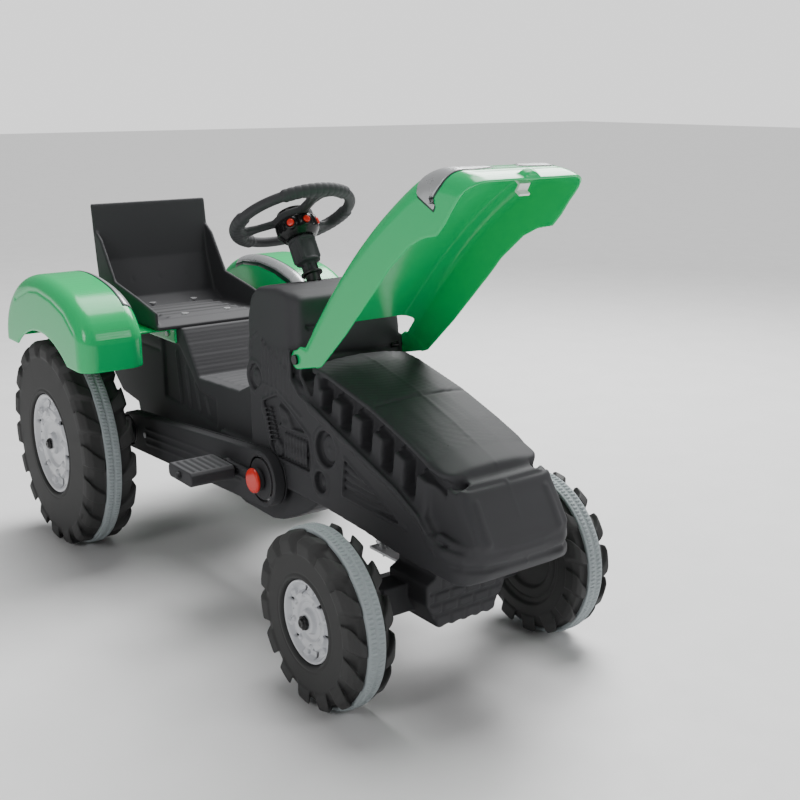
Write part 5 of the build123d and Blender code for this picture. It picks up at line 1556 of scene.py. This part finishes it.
        reach = self.wheel_radius
        clay = Clay((-reach, -reach, self.wheel_at - 11), (reach, reach, self.wheel_at + 11), 1.15)
        edge = [(14, -13), (34, -8.5), (56, -8), (70, -12), (82, -22)]
        spread = edge + [(x, -y) for x, y in edge[::-1]]

        def spoke(x: Array, y: Array, z: Array) -> Array:
            flat = outline_distance(x, y, spread)
            return joined(flat, np.abs(z - self.wheel_at + 3) - 4.0, 2.2)

        bar = Solid((14, -22, self.wheel_at - 8), (82, 22, self.wheel_at + 2), spoke)
        spine = bead([(26, 0, self.wheel_at - 6.5), (80, 0, self.wheel_at - 6.0)], 2.6)
        for degrees in (0, 120, 240):
            clay.add(spun(bar, degrees), spun(spine, degrees), blend=3.0)
        clay.add(rod((0, 0, self.wheel_at - 3), self.drum_radius - 3, 12, 2, 2.5), blend=5.0)
        low = (-reach, -reach, self.wheel_at - 10)
        clay.add(Solid(low, (reach, reach, self.wheel_at + 10), rim), blend=5.0)
        for degrees in (60, 180, 300):
            clay.cut(spun(rod((21, 0, self.wheel_at - 9), 5.0, 4, 2), degrees))
        clay.cut(rod((0, 0, self.wheel_at), self.shaft_radius, 60, 2), blend=0.2)
        return clay.soften(1.0).mesh("steering_wheel_form", 0.4)

    def _cap(self) -> bpy.types.Mesh:
        """The plain round cap in the middle of the wheel."""
        clay = Clay((-25, -25, self.wheel_at), (25, 25, self.wheel_at + 10), 0.8)
        clay.add(rod((0, 0, self.wheel_at + 5.8), 24, 5.6, 2, 2.0))
        clay.cut(ring((0, 0, self.wheel_at + 8.9), 18.5, 1.4, 1.6, 2))
        clay.cut(dome((0, 0, self.wheel_at + 13), (17, 17, 5.2)))
        clay.cut(rod((0, 0, self.wheel_at), self.shaft_radius, 12, 2), blend=0.2)
        return clay.soften(0.6).mesh("steering_cap_form", 0.45)


# ------------------------------------------------------------------ front axle, drive and rear
@dataclass
class FrontAxle:
    """The weight-block beam and the steel steering parts under the tub."""

    face: float = 60.0
    courses: tuple[float, ...] = (104.5, 121.0, 137.0)
    bottom: float = 88.0

    def build(self, shop: Workshop) -> None:
        """Soften the beam, cut its block pattern and finish the steel parts."""
        def work(bench: Bench) -> None:
            for z in self.courses:
                bench.cut(bead([(self.face, -58, z), (self.face, 58, z)], 2.8))
            tops = (*self.courses, 153.0)
            for row, (low, high) in enumerate(zip((self.bottom - 4, *self.courses), tops)):
                for step in range(-2, 3):
                    y = step * 26 + (13 if row % 2 else 0)
                    if abs(y) < 56:
                        bench.cut(bead([(self.face, y, low), (self.face, y, high)], 2.2))
            for step in range(-2, 3):
                bench.add(rod((self.face - 40, step * 20, self.bottom + 5), 9.0, 76, 0, 3.0), blend=2.5)

        shop.softened("front_axle_beam", BLACK, 1.4, 1.1, 0.35, work)
        for node in ("front_axle_bolts", "kingpins", "knuckle_right", "knuckle_left", "tie_rod"):
            shop.keep_node(node, STEEL, 0.5)


@dataclass
class Drive:
    """Cranks, pedals, chain and its case, and the rear axle."""

    crank: Point2 = (-285.0, 213.0)
    throw: float = 90.0

    def build(self, shop: Workshop) -> None:
        """Make the moulded parts and finish the steel ones."""
        for side, label in ((-1, "right"), (1, "left")):
            self._arm(shop, side, label)
            shop.softened(f"crank_cap_{label}", RED, 0.6, 0.8, 0.5)
            shop.softened(f"pedal_{label}", BLACK, 1.2, 0.9, 0.4)
        shop.softened("chain_case_cover", BLACK, 1.3, 1.1, 0.3, self._case())
        shop.keep_node("chain_case_plate", BLACK, 0.4)
        shop.keep_node("rear_spacers", BLACK, 0.5)
        for node in ("crank_shaft", "chain_wheel", "rear_sprocket", "drive_chain", "chain_case_screws",
                     "rear_axle"):
            shop.keep_node(node, STEEL, 0.3)

    def _arm(self, shop: Workshop, side: int, label: str) -> None:
        """A crank arm with a sunk web."""
        low, high = (corner.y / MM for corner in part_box(f"crank_cap_{label}"))
        outer = high if side < 0 else low
        start, end = self.crank[0] + side * 26, self.crank[0] + side * (self.throw - 20)
        x_low, x_high = min(start, end), max(start, end)
        z, depth = self.crank[1], 3.5

        def work(bench: Bench) -> None:
            pocket = brick((x_low, outer - depth, z - 4.6), (x_high, outer + depth, z + 4.6), 1.5)
            bench.cut(pocket)

        shop.softened(f"crank_arm_{label}", BLACK, 1.0, 0.9, 0.4, work)

    def _case(self) -> Callable[[Bench], None]:
        """Mid ribs and two ring grooves on the chain case."""
        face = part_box("chain_case_cover")[0].y / MM

        def work(bench: Bench) -> None:
            for lift in (-13, 0, 13):
                rib = bead([(-345, face + 0.8, 208 + lift), (-690, face + 0.8, 184 + lift)], 2.2)
                bench.add(rib, blend=1.5)
            bench.cut(ring((self.crank[0], face, self.crank[1]), 33, 2.2, 2.4, 1))
            bench.cut(ring((-760, face, 180), 26, 2.0, 2.4, 1))

        return work


@dataclass
class Rear:
    """Fenders with their bands, the seat, its bolts and the tow eye."""

    line: tuple[Point2, ...] = ((-948, 330), (-930, 395), (-880, 440), (-810, 464), (-746, 468), (-684, 461),
                                (-632, 447), (-592, 420), (-572, 380))
    middle: float = 204.0
    half_width: float = 54.0
    shoulder: float = 26.0
    deck: float = 380.0

    def build(self, shop: Workshop) -> None:
        """Make the rear pieces."""
        for side, label in ((-1, "right"), (1, "left")):
            fender = shop.softened(f"fender_{label}", GREEN, 1.8, 1.4, 0.35, self._fender(side))
            wrap = CrownWrap(self.line, self.half_width, self.shoulder, side * self.middle)
            turn = Matrix.Scale(MM, 4) @ Matrix.Translation((shop.axle_x, 0, 0))
            skin = skin_of(fender)
            for kind, low, high, lift, finish in (("border", 31.0, 60.0, 0.35, DARK_FOIL),
                                                  ("band", 34.0, 53.0, 1.0, FOIL)):
                ends = (66 - (kind == "border") * 3, 300 + (kind == "border") * 3)
                places = np.linspace(*ends, 12)
                edges = [[(along, -side * across) for along in places] for across in (low, high)]
                decal = Decal(f"fender_{kind}_{label}", *edges, lift, 70, 6)
                shop.piece(decal.name, decal.mesh(wrap, turn, skin), finish, "body")
        shop.softened("seat_shell", BLACK, 1.8, 1.6, 0.35, self._seat())
        shop.softened("tow_hitch", BLACK, 1.0, 0.9, 0.5)
        shop.keep_node("fender_screws", STEEL, 0.4)
        shop.keep_node("seat_bolts", STEEL, 0.4)

    def _fender(self, side: int) -> Callable[[Bench], None]:
        """A pressed groove round the wheel arch's outer side."""
        def work(bench: Bench) -> None:
            y = side * (self.middle + self.half_width)
            path = [(x + (14 if x < -760 else -14) * 0.8, y, z - 24) for x, z in self.line[2:-1]]
            bench.cut(bead(path, 1.8))

        return work

    def _seat(self) -> Callable[[Bench], None]:
        """Cushion ridges and a back groove."""
        def work(bench: Bench) -> None:
            for step in range(5):
                x = -655 - step * 32
                height = self.deck + 13.5 - step * 0.9
                bench.add(bead([(x, -72, height), (x, 72, height)], 3.2), blend=4.0)
            for y in (-52, 0, 52):
                bench.cut(bead([(-840, y, self.deck + 52), (-860, y, self.deck + 160)], 3.0), blend=2.0)
            top = [(-874, -80, self.deck + 178), (-874, 80, self.deck + 178)]
            bench.cut(bead(top, 2.0))

        return work


# ------------------------------------------------------------------ studio
@dataclass
class Studio:
    """A pale floor, soft lights and the camera.

    Args:
        camera: The camera's place, in metres.
        away: Its level direction of view.
        pitch: How far it looks down, in degrees.
        lens: Focal length, in millimetres.
        sideways: Lens shift.
        floor_size: Side of the floor, in metres.
        ambient: Strength of the surroundings' light.
        backdrop: Brightness of the surroundings behind the toy.
    """

    camera: Point3 = (1.5705, -0.9047, 0.7674)
    away: Point2 = (-0.7906, 0.6123)
    pitch: float = 14.8
    lens: float = 52.98
    sideways: float = -0.055
    floor_size: float = 40.0
    ambient: float = 0.22
    backdrop: float = 1.4

    def build(self, effects: Effects) -> None:
        """Set up the studio."""
        self._floor(effects)
        self._world()
        self._lights()
        self._camera()

    def _floor(self, effects: Effects) -> None:
        """A wide pale floor with a faint mottle."""
        half = self.floor_size / 2
        mesh = bpy.data.meshes.new("studio_floor")
        corners = [(-half, -half, 0), (half, -half, 0), (half, half, 0), (-half, half, 0)]
        mesh.from_pydata(corners, [], [(0, 1, 2, 3)])
        floor = bpy.data.objects.new("studio_floor", mesh)
        bpy.context.scene.collection.objects.link(floor)
        finish = Finish("pale_floor", "floor", (0.80, 0.80, 0.80), smooth=0.55, rough=0.7,
                        sheen_and_scuff=(0.8, 0.8, 0.8), sheen_and_wear=0, scuffs=0, dust=0, drift=0.02)
        mesh.materials.append(finish.material(effects))

    def _world(self) -> None:
        """Even pale surroundings."""
        world = bpy.data.worlds.new("studio_world")
        world.use_nodes = True
        tree = world.node_tree
        background = tree.nodes["Background"]
        background.inputs["Color"].default_value = (1.0, 1.0, 1.0, 1)
        seen = tree.nodes.new("ShaderNodeLightPath")
        level = tree.nodes.new("ShaderNodeMapRange")
        level.inputs["To Min"].default_value = self.ambient
        level.inputs["To Max"].default_value = self.backdrop
        link(tree, seen.outputs["Is Camera Ray"], level.inputs["Value"])
        link(tree, level.outputs["Result"], background.inputs["Strength"])
        bpy.context.scene.world = world

    def _lights(self) -> None:
        """A wide soft sun that lights the floor evenly, and three large soft lights for the highlights."""
        sun = bpy.data.lights.new("sky", "SUN")
        sun.energy, sun.angle = 3.0, math.radians(40)
        self._hang(sun, (-0.6, 0.9, 3.0))
        for name, place, size, power in (("back_left", (-0.9, 1.6, 2.0), 1.3, 70.0),
                                         ("front_left", (2.6, 1.2, 1.6), 0.9, 15.0),
                                         ("front_right", (1.2, -2.8, 1.8), 0.9, 22.0)):
            light = bpy.data.lights.new(name, "AREA")
            light.energy, light.size = power, size
            self._hang(light, place)

    @staticmethod
    def _hang(data: bpy.types.Light, place: Point3) -> None:
        """Put a light in its place, aimed at the toy's middle."""
        light = bpy.data.objects.new(data.name, data)
        light.location = place
        aim = Vector((0.1, 0, 0.3)) - Vector(place)
        light.rotation_mode = "QUATERNION"
        light.rotation_quaternion = aim.to_track_quat("-Z", "Y")
        bpy.context.scene.collection.objects.link(light)

    def _camera(self) -> None:
        """The camera, looking down at the toy from its front right."""
        data = bpy.data.cameras.new("camera")
        data.lens, data.shift_x = self.lens, self.sideways
        data.sensor_width = 36.0
        camera = bpy.data.objects.new("camera", data)
        camera.location = self.camera
        drop = math.radians(self.pitch)
        way = Vector((self.away[0] * math.cos(drop), self.away[1] * math.cos(drop), -math.sin(drop)))
        camera.rotation_mode = "QUATERNION"
        camera.rotation_quaternion = way.to_track_quat("-Z", "Y")
        bpy.context.scene.collection.objects.link(camera)
        bpy.context.scene.camera = camera


def main(frame: dict[str, Any]) -> None:
    """Build every sub-assembly.
    """
    logging.basicConfig(level=logging.INFO, format="%(message)s", stream=sys.stdout)
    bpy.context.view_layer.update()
    shop = Workshop(frame)
    for assembly in (Body(), Hood(), Wheel("front", 14, 55.0, 6.0, 1.1), Wheel("rear", 18, 86.0, 8.0, 1.5),
                     Steering(), FrontAxle(), Drive(), Rear()):
        assembly.build(shop)
    Studio().build(shop.effects)
    log.info("%d pieces made", shop.made)


if __name__ == "__main__":
    main(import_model())
